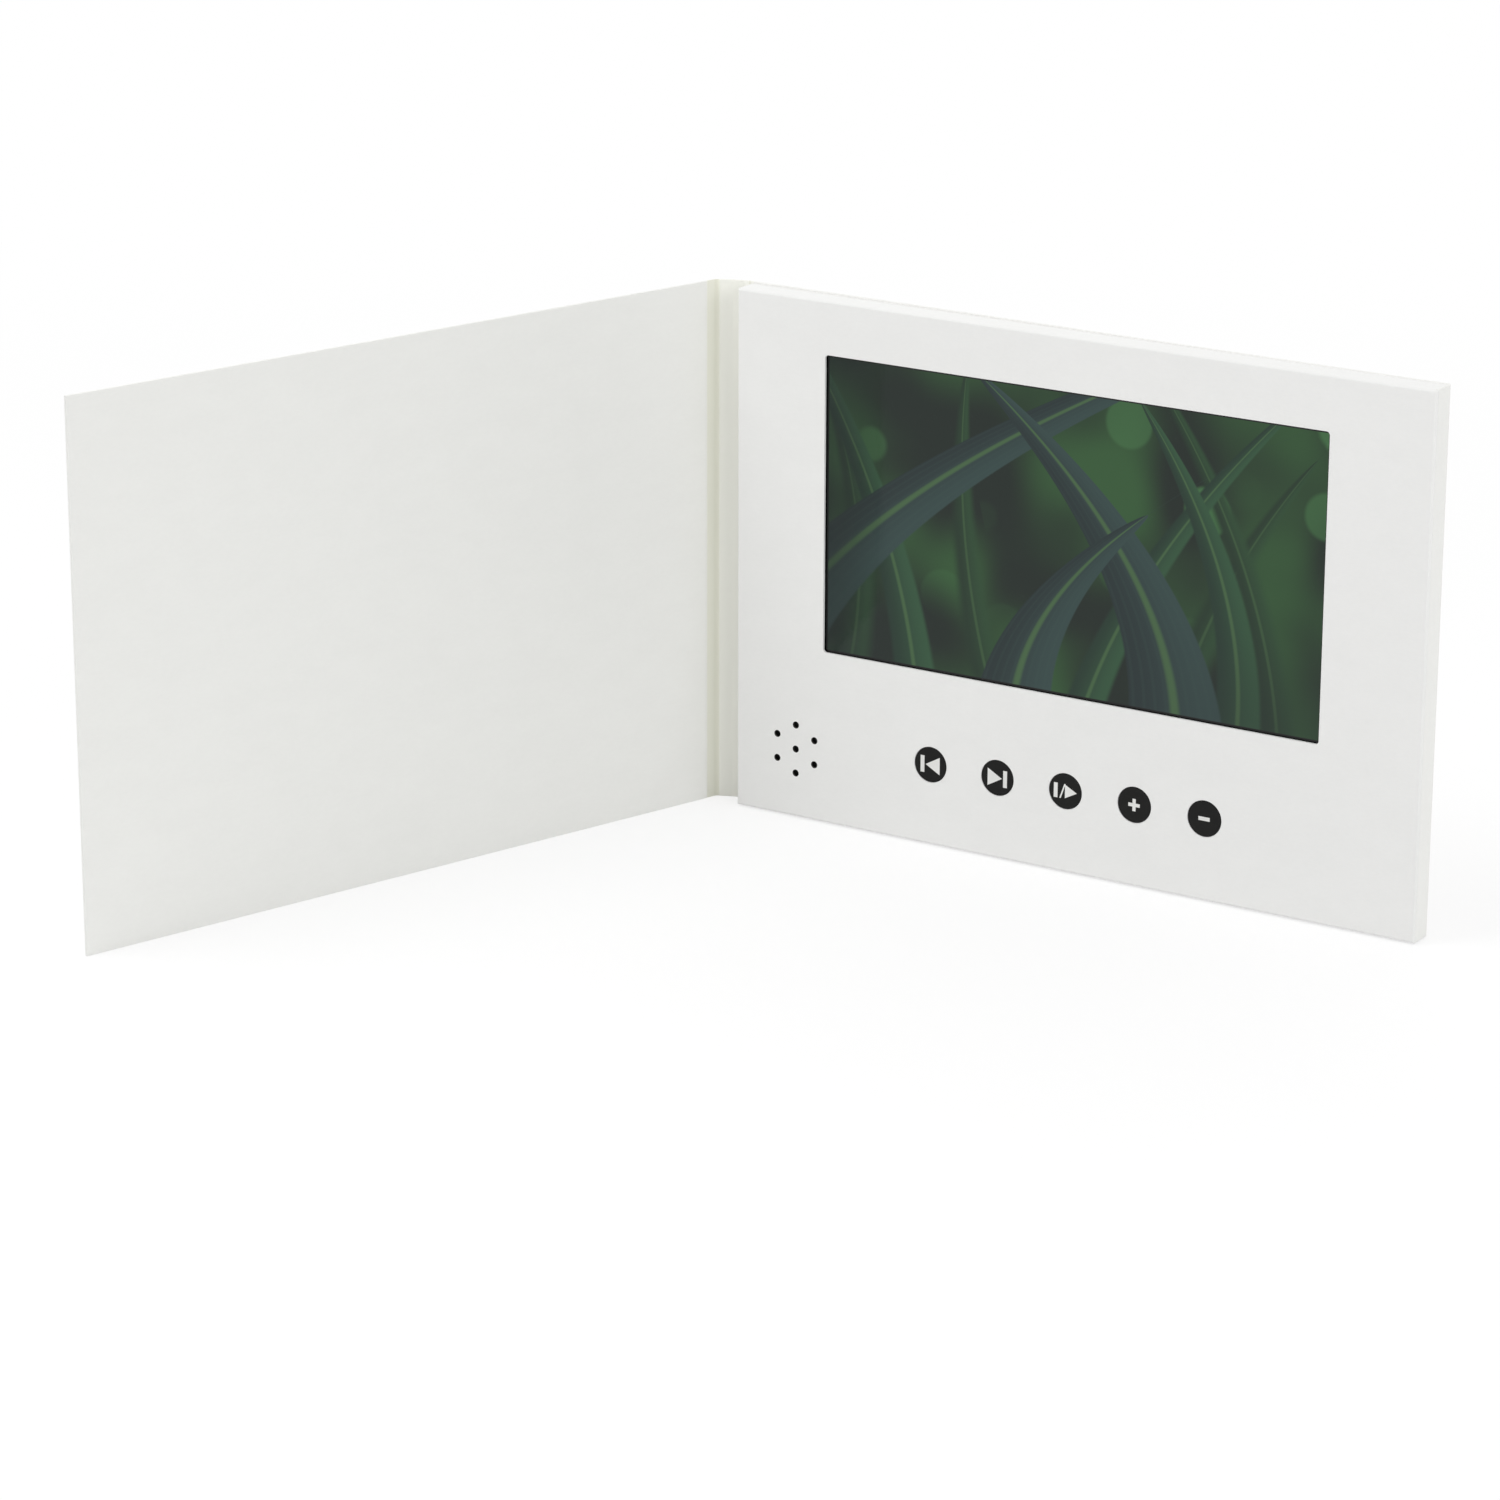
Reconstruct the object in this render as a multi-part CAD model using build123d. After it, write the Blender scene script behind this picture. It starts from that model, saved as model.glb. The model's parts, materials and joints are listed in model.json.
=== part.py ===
"""A5 video brochure: a creased card cover with a 7 inch video player module inside its back cover.

The module frame has X along the face from the spine to the fore edge, +Y from the screen face into
the module and +Z up, with its origin at the foot of the face's spine edge. The finished pieces are
moved so that the origin is under the middle of the standing, half open brochure. Sizes are in mm.
"""
import math
import os

from build123d import *

# Creased cover card: three plies, glued flush
SHEET = 0.15                # printed outer sheet
BOARD = 0.6                 # core board, raw at the cut edges
LINER = 0.15                # inner lining sheet
FREE_EDGE_SETBACK = 1.2     # front cover's free edge short of the fore edge when shut
OVERHANG = 0.5              # cover beyond the module at head and foot
SHEET_SETBACK = 0.05        # sheets crushed back from the core at the cut head and foot
CREASE_GAP = 0.03           # half the slit left at a crease's outer skin
CREASE_FOLD = 90.0          # most that one crease folds
BACK_BEND = 20.0            # fold of the back crease as the brochure stands
FRONT_BEND = 52.3           # fold of the front crease as the brochure stands
CLOSED_GAP = 0.5            # face to front cover when shut
SPINE_CLEARANCE = 0.3       # module to spine when shut
FORE_EDGE_RADIUS = 1.2      # outer fold from back cover to fore edge wall

# Module and its face panel
FACE_CARD = 0.8             # face panel and the walls folded from it
FACE_FOLD_RADIUS = 0.6      # outer fold round the face
FIT = 0.1                   # clearance round glued-in parts
TAPE = 0.15                 # double-sided adhesive

# Display
ACTIVE_WIDTH = 154.1
ACTIVE_HEIGHT = 85.9
WINDOW_OVERLAP = 0.95       # card over the rim of the active area
WINDOW_RADIUS = 1.0
WINDOW_LEFT = 28.2          # face panel's borders round the window
WINDOW_RIGHT = 29.6
WINDOW_BOTTOM = 49.2
WINDOW_TOP = 14.8
DISPLAY_SIDE_BORDER = 5.45  # metal frame beyond the active area
DISPLAY_END_BORDER = 7.05
DISPLAY_DEPTH = 3.5
DISPLAY_METAL = 0.25
BEZEL_MARGIN = 1.0          # bezel opening beyond the active area
GLASS_DEPTH = 1.2
RIBBON_WIDTH = 30.0
RIBBON_THICKNESS = 0.2
RIBBON_BEND = 1.0

# Round keys and the switches under them
KEY_NAMES = ("previous", "next", "play", "plus", "minus")
KEY_FIRST = 63.1            # first key's centre from the face's spine edge
KEY_PITCH = 21.15
KEY_HEIGHT = 22.9           # keys' centres from the face's foot
KEY_RADIUS = 4.95
KEY_HOLE_CLEARANCE = 0.12
KEY_PROUD = 0.15
KEY_EDGE = 0.25
KEY_FLANGE_WIDTH = 1.1      # square flange beyond the cap, behind the face panel
KEY_FLANGE = 0.5
KEY_PLAY = 0.05             # flange to face panel, key released
KEY_TRAVEL = 0.3
STEM_RADIUS = 1.65
STEM_PROUD = 0.95           # stem above the switch body, released
STEM_INSIDE = 0.3           # stem inside the switch body, released
STEM_CLEARANCE = 0.05
SWITCH_SIDE = 6.0
SWITCH_HEIGHT = 2.5
SWITCH_CHAMFER = 0.6
BORE_MARGIN = 0.15          # bore left under a fully pressed stem

# Main board
BOARD_END = 11.0            # board beyond the first and last keys
BOARD_FOOT = 1.1            # face panel's bottom wall to the board
BOARD_TOP = 10.1            # board above the keys' centres
BOARD_THICKNESS = 1.0
BOARD_RADIUS = 1.0
PAD_INSET = 3.0
CHIP_ROW = 10.0             # chips' centres from the face's foot
RIBBON_SOCKET_HEIGHT = 1.4
RIBBON_SOCKET_DEPTH = 4.0
PLUG_WIDTH = 6.0            # battery connector
PLUG_LENGTH = 4.6
PLUG_HEIGHT = 3.0
SENSOR_PLUG_WIDTH = 4.6
SENSOR_PLUG_LENGTH = 6.0
SENSOR_PLUG_HEIGHT = 2.9
PROCESSOR_SIDE = 10.0
PROCESSOR_DEPTH = 1.2
FLASH_WIDTH = 8.0
FLASH_HEIGHT = 6.0
FLASH_DEPTH = 1.0
CRYSTAL_WIDTH = 3.2
CRYSTAL_HEIGHT = 2.5
CRYSTAL_DEPTH = 0.8
AMPLIFIER_WIDTH = 5.0
AMPLIFIER_HEIGHT = 4.0
AMPLIFIER_DEPTH = 1.2
CHARGER_SIDE = 3.0
CHARGER_DEPTH = 1.0

# Charging port
PORT_WIDTH = 7.5
PORT_HEIGHT = 2.6
PORT_DEPTH = 5.2
PORT_METAL = 0.3
PORT_CORNER = 1.0           # rounded corners on the face side
PORT_BACK = 1.0             # closed rear of the shell
PORT_SETBACK = 0.15         # bottom wall to the shell's mouth
PORT_CUT_SIDE = 0.2         # die-cut hole beyond the shell
PORT_CUT_FRONT = 1.2
PORT_CUT_REAR = 0.3
PORT_CUT_RADIUS = 1.3
TONGUE_WIDTH = 3.9
TONGUE_THICKNESS = 0.6
TONGUE_LENGTH = 3.4
CONTACT_COUNT = 5
CONTACT_PITCH = 0.65
CONTACT_WIDTH = 0.3
CONTACT_THICKNESS = 0.1

# Battery
BATTERY_DEPTH = 2.9
BATTERY_GAP = 0.1           # display to battery
BATTERY_WIDTH = 60.0
BATTERY_HEIGHT = 70.0
BATTERY_EDGE = 1.0
BATTERY_FOOT = 18.0         # bottom of the terrace above the display's foot
TERRACE = 6.0               # sealed end that carries the protection board
TERRACE_THICKNESS = 0.4
TERRACE_INSET = 2.0         # terrace and tape short of the cell's sides
GUARD_WIDTH = 48.0
GUARD_HEIGHT = 4.6
GUARD_DEPTH = 1.6
LEAD_DIAMETER = 1.0
LEAD_SIDES = 8
LEAD_SPACING = 1.8
LEAD_BEND = 1.5

# Loudspeaker
SPEAKER_X = 19.5            # centre from the face's spine edge and foot
SPEAKER_Z = 19.7
SPEAKER_RADIUS = 10.0
SPEAKER_DEPTH = 3.7
GASKET = 0.5
GASKET_WIDTH = 1.2
BASKET_FLOOR = 0.4
POT_RADIUS = 6.0
POT_WALL = 0.8
POT_DEPTH = 2.3
CORE_RADIUS = 3.4
COIL_RADIUS = 4.3
COIL_WALL = 0.3
COIL_DEPTH = 1.2
CONE_THICKNESS = 0.25
CONE_RISE = 0.35            # roll and dust cap above the cone's flat
CONE_SWING = 0.2            # each way
CONE_CLEARANCE = 0.3        # cone to basket rim
HOLE_RADIUS = 1.0
HOLE_CIRCLE = 7.0
HOLE_COUNT = 6

# Closing sensor and its magnet
SENSOR_INSET = 12.3         # sensor's centre from the fore edge
SENSOR_HEIGHT = 74.0
SENSOR_BOARD_WIDTH = 8.0
SENSOR_BOARD_HEIGHT = 7.0
SENSOR_BOARD_THICKNESS = 0.8
HALL_WIDTH = 2.9
HALL_HEIGHT = 1.6
HALL_DEPTH = 0.8
SENSOR_LEAD_WIDTH = 3.0
SENSOR_LEAD_THICKNESS = 0.9
SENSOR_LEAD_BEND = 4.0
MAGNET_RADIUS = 5.0
CHANNEL_FIT = 0.5           # frame's channels beyond the leads

# Derived sizes and depths, all from the face's outer skin
WINDOW_WIDTH = ACTIVE_WIDTH - 2 * WINDOW_OVERLAP
WINDOW_HEIGHT = ACTIVE_HEIGHT - 2 * WINDOW_OVERLAP
MODULE_WIDTH = WINDOW_LEFT + WINDOW_WIDTH + WINDOW_RIGHT
MODULE_HEIGHT = WINDOW_BOTTOM + WINDOW_HEIGHT + WINDOW_TOP
CARD = SHEET + BOARD + LINER
FACE_IN = FACE_CARD                     # inner skin of the face panel
BACK_IN = FACE_IN + TAPE + DISPLAY_DEPTH + BATTERY_GAP + BATTERY_DEPTH + TAPE
MODULE_DEPTH = BACK_IN + CARD
CREASE_X = -(SPINE_CLEARANCE + CARD)
SPINE_WIDTH = MODULE_DEPTH + CLOSED_GAP + CARD
COVER_HEIGHT = MODULE_HEIGHT + 2 * OVERHANG
FRONT_WIDTH = MODULE_WIDTH - CREASE_X - FREE_EDGE_SETBACK
WALL_END = MODULE_WIDTH - CARD          # inner skin of the fore edge wall

WINDOW_X = WINDOW_LEFT + WINDOW_WIDTH / 2
WINDOW_Z = WINDOW_BOTTOM + WINDOW_HEIGHT / 2
DISPLAY_WIDTH = ACTIVE_WIDTH + 2 * DISPLAY_SIDE_BORDER
DISPLAY_HEIGHT = ACTIVE_HEIGHT + 2 * DISPLAY_END_BORDER
DISPLAY_LEFT = WINDOW_X - DISPLAY_WIDTH / 2
DISPLAY_FOOT = WINDOW_Z - DISPLAY_HEIGHT / 2
DISPLAY_FRONT = FACE_IN + TAPE
DISPLAY_BACK = DISPLAY_FRONT + DISPLAY_DEPTH

KEYS = [(name, KEY_FIRST + KEY_PITCH * i) for i, name in enumerate(KEY_NAMES)]
KEY_LAST = KEYS[-1][1]
FLANGE_FRONT = FACE_IN + KEY_PLAY
STEM_TOP = FLANGE_FRONT + KEY_FLANGE
SWITCH_TOP = STEM_TOP + STEM_PROUD
BOARD_FACE = SWITCH_TOP + SWITCH_HEIGHT
BOARD_BACK = BOARD_FACE + BOARD_THICKNESS
BOARD_LEFT = KEY_FIRST - BOARD_END
BOARD_RIGHT = KEY_LAST + BOARD_END
BOARD_BOTTOM = FACE_CARD + BOARD_FOOT
BOARD_CEILING = KEY_HEIGHT + BOARD_TOP
PORT_X = MODULE_WIDTH / 2
PLUG_X = (KEYS[-2][1] + KEY_LAST) / 2   # above the gap between the last two keys
SENSOR_X = MODULE_WIDTH - SENSOR_INSET
LEAD_FRONT = BOARD_FACE - PLUG_HEIGHT / 2
BATTERY_START = DISPLAY_FOOT + BATTERY_FOOT
BATTERY_END = BATTERY_START + TERRACE + BATTERY_HEIGHT

nodes = {}


def block(x, y, z):
    """A box between low and high corners given as (low, high) pairs."""
    size = [high - low for low, high in (x, y, z)]
    centre = [(low + high) / 2 for low, high in (x, y, z)]
    return Pos(*centre) * Box(*size)


def about(centre, width):
    """The (low, high) pair of a width about a centre."""
    return (centre - width / 2, centre + width / 2)


def rod(x, z, radius, y_low, y_high):
    """A cylinder along Y between two depths."""
    return Pos(x, (y_low + y_high) / 2, z) * Rot(90, 0, 0) * Cylinder(radius, y_high - y_low)


def turned(x, z, outline):
    """A body turned about a Y axis through (x, z), from (radius, depth) points."""
    profile = make_face(Polyline(*[(r, d) for r, d in outline], close=True))
    return Pos(x, 0, z) * revolve(profile, Axis.Y)


def plate(points, foot, height, radii=None):
    """A vertical prism over an (x, y) outline, with some corners rounded."""
    face = make_face(Polyline(*points, close=True))
    for corner, radius in (radii or {}).items():
        face = fillet(face.vertices().sort_by_distance((*points[corner], 0))[0], radius)
    return Pos(0, 0, foot) * extrude(face, height, dir=(0, 0, 1))


# ---------------------------------------------------------------- cover card

def bevel(depth):
    """How far a ply's edge stands back from the crease line at a depth from the outer skin."""
    return CREASE_GAP + depth * math.tan(math.radians(CREASE_FOLD / 2))


def ply_rise(shallow):
    """Foot and height of a ply: the core runs to the cut edges, the sheets stop just short."""
    setback = 0 if shallow == SHEET else SHEET_SETBACK
    return (setback - OVERHANG, COVER_HEIGHT - 2 * setback)


def ply(length, shallow, deep, far_crease):
    """A flat panel's ply, along +X from its crease, with depth along +Y from the outer skin."""
    far = [length - bevel(d) if far_crease else length for d in (shallow, deep)]
    points = [(bevel(shallow), shallow), (far[0], shallow), (far[1], deep), (bevel(deep), deep)]
    return plate(points, *ply_rise(shallow))


def wrapped_ply(shallow, deep):
    """A back cover ply, turned up at the fore edge and ending under the face panel."""
    skin = MODULE_DEPTH
    end = MODULE_WIDTH
    points = [
        (CREASE_X + bevel(shallow), skin - shallow),
        (end - shallow, skin - shallow),
        (end - shallow, FACE_IN),
        (end - deep, FACE_IN),
        (end - deep, skin - deep),
        (CREASE_X + bevel(deep), skin - deep),
    ]
    radii = {1: FORE_EDGE_RADIUS - shallow}
    if deep < CARD:
        radii[4] = FORE_EDGE_RADIUS - deep
    return plate(points, *ply_rise(shallow), radii)


def cover_plies():
    """Name, start and end depth of each ply, from the outer skin."""
    return (
        ("outer_sheet", 0, SHEET),
        ("board", SHEET, SHEET + BOARD),
        ("liner", SHEET + BOARD, CARD),
    )


def spine_place():
    """Spine panel's place: it runs out from the back crease, folded by the back bend."""
    return Location((CREASE_X, MODULE_DEPTH, 0), (0, 0, 180 + BACK_BEND))


def front_place():
    """Front cover's place: it runs on from the spine's far edge, folded by the front bend."""
    return spine_place() * Location((SPINE_WIDTH, 0, 0), (0, 0, FRONT_BEND))


def magnet_place():
    """Magnet's distance from the front crease, so that it meets the sensor when shut."""
    return SENSOR_X - CREASE_X


def make_cover():
    magnet = rod(magnet_place(), SENSOR_HEIGHT, MAGNET_RADIUS, SHEET, SHEET + BOARD)
    seat = rod(magnet_place(), SENSOR_HEIGHT, MAGNET_RADIUS + FIT, SHEET, SHEET + BOARD)
    for name, shallow, deep in cover_plies():
        front = ply(FRONT_WIDTH, shallow, deep, False)
        if name == "board":
            front -= seat
        nodes[f"front_{name}"] = front_place() * front
        nodes[f"spine_{name}"] = spine_place() * ply(SPINE_WIDTH, shallow, deep, True)
        nodes[f"back_{name}"] = wrapped_ply(shallow, deep)
    nodes["cover_magnet"] = front_place() * magnet


# ---------------------------------------------------------------- face panel and frame

def port_outline(front, rear, width, radius, length):
    """A port-shaped bar along Z: round corners on the face side, square ones behind."""
    low, high = about(PORT_X, width)
    points = [(low, front), (high, front), (high, rear), (low, rear)]
    return plate(points, 0, length, {0: radius, 1: radius})


def speaker_holes():
    centres = [(SPEAKER_X, SPEAKER_Z)]
    for i in range(HOLE_COUNT):
        angle = math.radians(90 + 360 * i / HOLE_COUNT)
        x = SPEAKER_X + HOLE_CIRCLE * math.cos(angle)
        centres.append((x, SPEAKER_Z + HOLE_CIRCLE * math.sin(angle)))
    return [rod(x, z, HOLE_RADIUS, -FACE_CARD, 2 * FACE_CARD) for x, z in centres]


def make_face_panel():
    wall = FACE_CARD
    outer = block((0, WALL_END), (0, BACK_IN), (0, MODULE_HEIGHT))
    outer += block((0, MODULE_WIDTH), (0, FACE_IN), (0, MODULE_HEIGHT))
    inner = block((wall, WALL_END), (FACE_IN, BACK_IN), (wall, MODULE_HEIGHT - wall))
    panel = outer - inner
    panel = fillet(panel.faces().sort_by(Axis.Y)[0].edges(), FACE_FOLD_RADIUS)
    window = Pos(WINDOW_X, 0, WINDOW_Z) * Rot(90, 0, 0) * extrude(
        RectangleRounded(WINDOW_WIDTH, WINDOW_HEIGHT, WINDOW_RADIUS), FACE_CARD, both=True)
    holes = [rod(x, KEY_HEIGHT, KEY_RADIUS + KEY_HOLE_CLEARANCE, -wall, 2 * wall) for _, x in KEYS]
    cut = port_outline(
        BOARD_FACE - PORT_HEIGHT - PORT_CUT_FRONT,
        BOARD_FACE + PORT_CUT_REAR,
        PORT_WIDTH + 2 * PORT_CUT_SIDE,
        PORT_CUT_RADIUS,
        wall,
    )
    nodes["face_panel"] = panel - [window, cut, *holes, *speaker_holes()]


def make_spacer_frame():
    """Frame that fills the module between face and back, pocketed for every part."""
    deep = (FACE_IN, BACK_IN)
    inner_x = (FACE_CARD + FIT, WALL_END - FIT)
    inner_z = (FACE_CARD + FIT, MODULE_HEIGHT - FACE_CARD - FIT)
    frame = block(inner_x, deep, inner_z)
    board_x = (BOARD_LEFT - CHANNEL_FIT, BOARD_RIGHT + CHANNEL_FIT)
    board_ceiling = BOARD_CEILING + CHANNEL_FIT
    display_x = (DISPLAY_LEFT - FIT, DISPLAY_LEFT + DISPLAY_WIDTH + FIT)
    display_z = (DISPLAY_FOOT - FIT, DISPLAY_FOOT + DISPLAY_HEIGHT + FIT)
    lead_depth = (FACE_IN, BOARD_FACE + CHANNEL_FIT)
    run_z = sensor_run_height()
    gate_x = (WINDOW_X - RIBBON_WIDTH / 2 - 2 * CHANNEL_FIT, PLUG_X + PLUG_WIDTH / 2 + CHANNEL_FIT)
    pockets = [
        block(display_x, deep, display_z),
        block(board_x, deep, (0, board_ceiling)),
        block(about(PLUG_X, BATTERY_WIDTH + 2 * FIT), deep, (BATTERY_START - FIT, BATTERY_END + FIT)),
        rod(SPEAKER_X, SPEAKER_Z, SPEAKER_RADIUS + FIT, *deep),
        block(gate_x, deep, (board_ceiling, display_z[0])),
        block((SPEAKER_X, board_x[0]), lead_depth, about(SPEAKER_Z, 2 * LEAD_SPACING)),
        block(about(SENSOR_X, SENSOR_BOARD_WIDTH + 2 * FIT), lead_depth,
              about(SENSOR_HEIGHT, SENSOR_BOARD_HEIGHT + 2 * FIT)),
        block(about(SENSOR_X, SENSOR_LEAD_WIDTH + 2 * CHANNEL_FIT), lead_depth,
              (run_z - SENSOR_LEAD_WIDTH / 2 - CHANNEL_FIT, SENSOR_HEIGHT)),
        block((board_x[1], SENSOR_X), lead_depth, about(run_z, SENSOR_LEAD_WIDTH + 2 * CHANNEL_FIT)),
        bend_room(run_z),
    ]
    nodes["spacer_frame"] = frame - pockets


def bend_room(run_z):
    """Room on the inside of the sensor lead's bend."""
    room = SENSOR_LEAD_BEND
    return block((SENSOR_X - room, SENSOR_X), (FACE_IN, BOARD_FACE + CHANNEL_FIT), (run_z, run_z + room))


# ---------------------------------------------------------------- display

def make_display():
    x = (DISPLAY_LEFT, DISPLAY_LEFT + DISPLAY_WIDTH)
    z = (DISPLAY_FOOT, DISPLAY_FOOT + DISPLAY_HEIGHT)
    metal = DISPLAY_METAL
    inner_x = (x[0] + metal, x[1] - metal)
    inner_z = (z[0] + metal, z[1] - metal)
    bezel_x = about(WINDOW_X, ACTIVE_WIDTH + 2 * BEZEL_MARGIN)
    bezel_z = about(WINDOW_Z, ACTIVE_HEIGHT + 2 * BEZEL_MARGIN)
    glass_y = (DISPLAY_FRONT + metal, DISPLAY_FRONT + metal + GLASS_DEPTH)
    light_y = (glass_y[1], DISPLAY_BACK - metal)
    ribbon_y = ribbon_exit()
    frame = block(x, (DISPLAY_FRONT, DISPLAY_BACK), z)
    frame -= block(inner_x, (DISPLAY_FRONT + metal, DISPLAY_BACK - metal), inner_z)
    frame -= block(bezel_x, (0, DISPLAY_FRONT + metal), bezel_z)
    frame -= block(about(WINDOW_X, RIBBON_WIDTH + 2 * FIT), about(ribbon_y, RIBBON_THICKNESS + 2 * FIT),
                   (z[0], z[0] + metal))
    tape = block(x, (FACE_IN, DISPLAY_FRONT), z) - block(bezel_x, (0, DISPLAY_BACK), bezel_z)
    nodes["display_frame"] = frame
    nodes["display_tape"] = tape
    nodes["display_glass"] = block(inner_x, glass_y, inner_z)
    nodes["display_backlight"] = block(inner_x, light_y, inner_z)


def ribbon_exit():
    """Depth at which the ribbon leaves the backlight."""
    return DISPLAY_BACK - DISPLAY_METAL - FIT - RIBBON_THICKNESS


def make_ribbon():
    """Flat ribbon, from the backlight's foot down to the socket on the board."""
    start = (ribbon_exit(), DISPLAY_FOOT + DISPLAY_METAL)
    end = (BOARD_FACE - RIBBON_SOCKET_HEIGHT / 2, BOARD_CEILING)
    third = (start[1] - end[1]) / 3
    points = [start, (start[0], start[1] - third), (end[0], end[1] + third), end]
    path = FilletPolyline(*[(WINDOW_X, y, z) for y, z in points], radius=RIBBON_BEND)
    section = Plane(origin=path @ 0, x_dir=(1, 0, 0), z_dir=path % 0) * Rectangle(
        RIBBON_WIDTH, RIBBON_THICKNESS)
    nodes["display_ribbon"] = sweep(section, path)
    nodes["ribbon_socket"] = block(
        about(WINDOW_X, RIBBON_WIDTH + 2 * CHANNEL_FIT),
        (BOARD_FACE - RIBBON_SOCKET_HEIGHT, BOARD_FACE),
        (BOARD_CEILING - RIBBON_SOCKET_DEPTH, BOARD_CEILING),
    )


# ---------------------------------------------------------------- main board

def chip(x, width, height, depth):
    """A chip on the face side of the board, in the row below the switches."""
    return block(about(x, width), (BOARD_FACE - depth, BOARD_FACE), about(CHIP_ROW, height))


def between_keys(number):
    """Middle of the gap after the numbered key, counted from 1."""
    return KEY_FIRST + (number - 0.5) * KEY_PITCH


def make_board():
    width = BOARD_RIGHT - BOARD_LEFT
    height = BOARD_CEILING - BOARD_BOTTOM
    middle_z = (BOARD_BOTTOM + BOARD_CEILING) / 2
    centre = ((BOARD_LEFT + BOARD_RIGHT) / 2, (BOARD_FACE + BOARD_BACK) / 2, middle_z)
    nodes["main_board"] = Pos(*centre) * Rot(90, 0, 0) * extrude(
        RectangleRounded(width, height, BOARD_RADIUS), BOARD_THICKNESS / 2, both=True)
    nodes["board_pad"] = block(
        (BOARD_LEFT + PAD_INSET, BOARD_RIGHT - PAD_INSET),
        (BOARD_BACK, BACK_IN),
        (BOARD_BOTTOM + PAD_INSET, BOARD_CEILING - PAD_INSET),
    )
    nodes["processor"] = chip(between_keys(1), PROCESSOR_SIDE, PROCESSOR_SIDE, PROCESSOR_DEPTH)
    nodes["flash_memory"] = chip(between_keys(2), FLASH_WIDTH, FLASH_HEIGHT, FLASH_DEPTH)
    nodes["crystal"] = chip(KEY_FIRST, CRYSTAL_WIDTH, CRYSTAL_HEIGHT, CRYSTAL_DEPTH)
    nodes["audio_amplifier"] = chip(between_keys(3), AMPLIFIER_WIDTH, AMPLIFIER_HEIGHT, AMPLIFIER_DEPTH)
    nodes["charger_chip"] = chip(between_keys(4), CHARGER_SIDE, CHARGER_SIDE, CHARGER_DEPTH)
    nodes["battery_connector"] = block(
        about(PLUG_X, PLUG_WIDTH),
        (BOARD_FACE - PLUG_HEIGHT, BOARD_FACE),
        (BOARD_CEILING - PLUG_LENGTH, BOARD_CEILING),
    )
    nodes["sensor_connector"] = block(
        (BOARD_RIGHT - SENSOR_PLUG_WIDTH, BOARD_RIGHT),
        (BOARD_FACE - SENSOR_PLUG_HEIGHT, BOARD_FACE),
        about(sensor_run_height(), SENSOR_PLUG_LENGTH),
    )


def make_port():
    """Micro USB receptacle: drawn steel shell, moulded tongue and five contacts."""
    mouth = FACE_CARD + PORT_SETBACK
    front = BOARD_FACE - PORT_HEIGHT
    shell = port_outline(front, BOARD_FACE, PORT_WIDTH, PORT_CORNER, PORT_DEPTH)
    cavity = port_outline(
        front + PORT_METAL,
        BOARD_FACE - PORT_METAL,
        PORT_WIDTH - 2 * PORT_METAL,
        PORT_CORNER - PORT_METAL,
        PORT_DEPTH - PORT_BACK,
    )
    nodes["port_shell"] = Pos(0, 0, mouth) * (shell - cavity)
    root = mouth + PORT_DEPTH - PORT_BACK
    middle = BOARD_FACE - PORT_HEIGHT / 2
    tongue_y = about(middle, TONGUE_THICKNESS)
    nodes["port_tongue"] = block(about(PORT_X, TONGUE_WIDTH), tongue_y, (root - TONGUE_LENGTH, root))
    contacts = []
    for i in range(CONTACT_COUNT):
        x = PORT_X + (i - (CONTACT_COUNT - 1) / 2) * CONTACT_PITCH
        depth = (tongue_y[1], tongue_y[1] + CONTACT_THICKNESS)
        contacts.append(block(about(x, CONTACT_WIDTH), depth, (root - TONGUE_LENGTH + FIT, root)))
    nodes["port_contacts"] = Compound(children=contacts)


def make_keys():
    bore_end = SWITCH_TOP + STEM_INSIDE + KEY_TRAVEL + BORE_MARGIN
    flange_side = 2 * (KEY_RADIUS + KEY_FLANGE_WIDTH)
    side = SWITCH_SIDE / 2
    cut = SWITCH_CHAMFER
    for name, x in KEYS:
        cap = turned(x, KEY_HEIGHT, [
            (0, -KEY_PROUD),
            (KEY_RADIUS - KEY_EDGE, -KEY_PROUD),
            (KEY_RADIUS, KEY_EDGE - KEY_PROUD),
            (KEY_RADIUS, STEM_TOP),
            (0, STEM_TOP),
        ])
        cap += block(about(x, flange_side), (FLANGE_FRONT, STEM_TOP), about(KEY_HEIGHT, flange_side))
        octagon = Polyline(
            (-side, cut - side), (cut - side, -side), (side - cut, -side), (side, cut - side),
            (side, side - cut), (side - cut, side), (cut - side, side), (-side, side - cut), close=True)
        body = Pos(x, BOARD_FACE, KEY_HEIGHT) * Rot(90, 0, 0) * extrude(make_face(octagon), SWITCH_HEIGHT)
        body -= rod(x, KEY_HEIGHT, STEM_RADIUS + STEM_CLEARANCE, SWITCH_TOP, bore_end)
        nodes[f"key_{name}"] = cap
        nodes[f"stem_{name}"] = rod(x, KEY_HEIGHT, STEM_RADIUS, STEM_TOP, SWITCH_TOP + STEM_INSIDE)
        nodes[f"switch_{name}"] = body


# ---------------------------------------------------------------- battery

def lead(points):
    """An insulated wire of octagonal section along a route with rounded bends."""
    path = FilletPolyline(*points, radius=LEAD_BEND)
    section = Plane(origin=path @ 0, x_dir=(1, 0, 0), z_dir=path % 0) * RegularPolygon(
        LEAD_DIAMETER / 2, LEAD_SIDES)
    return sweep(section, path)


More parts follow.
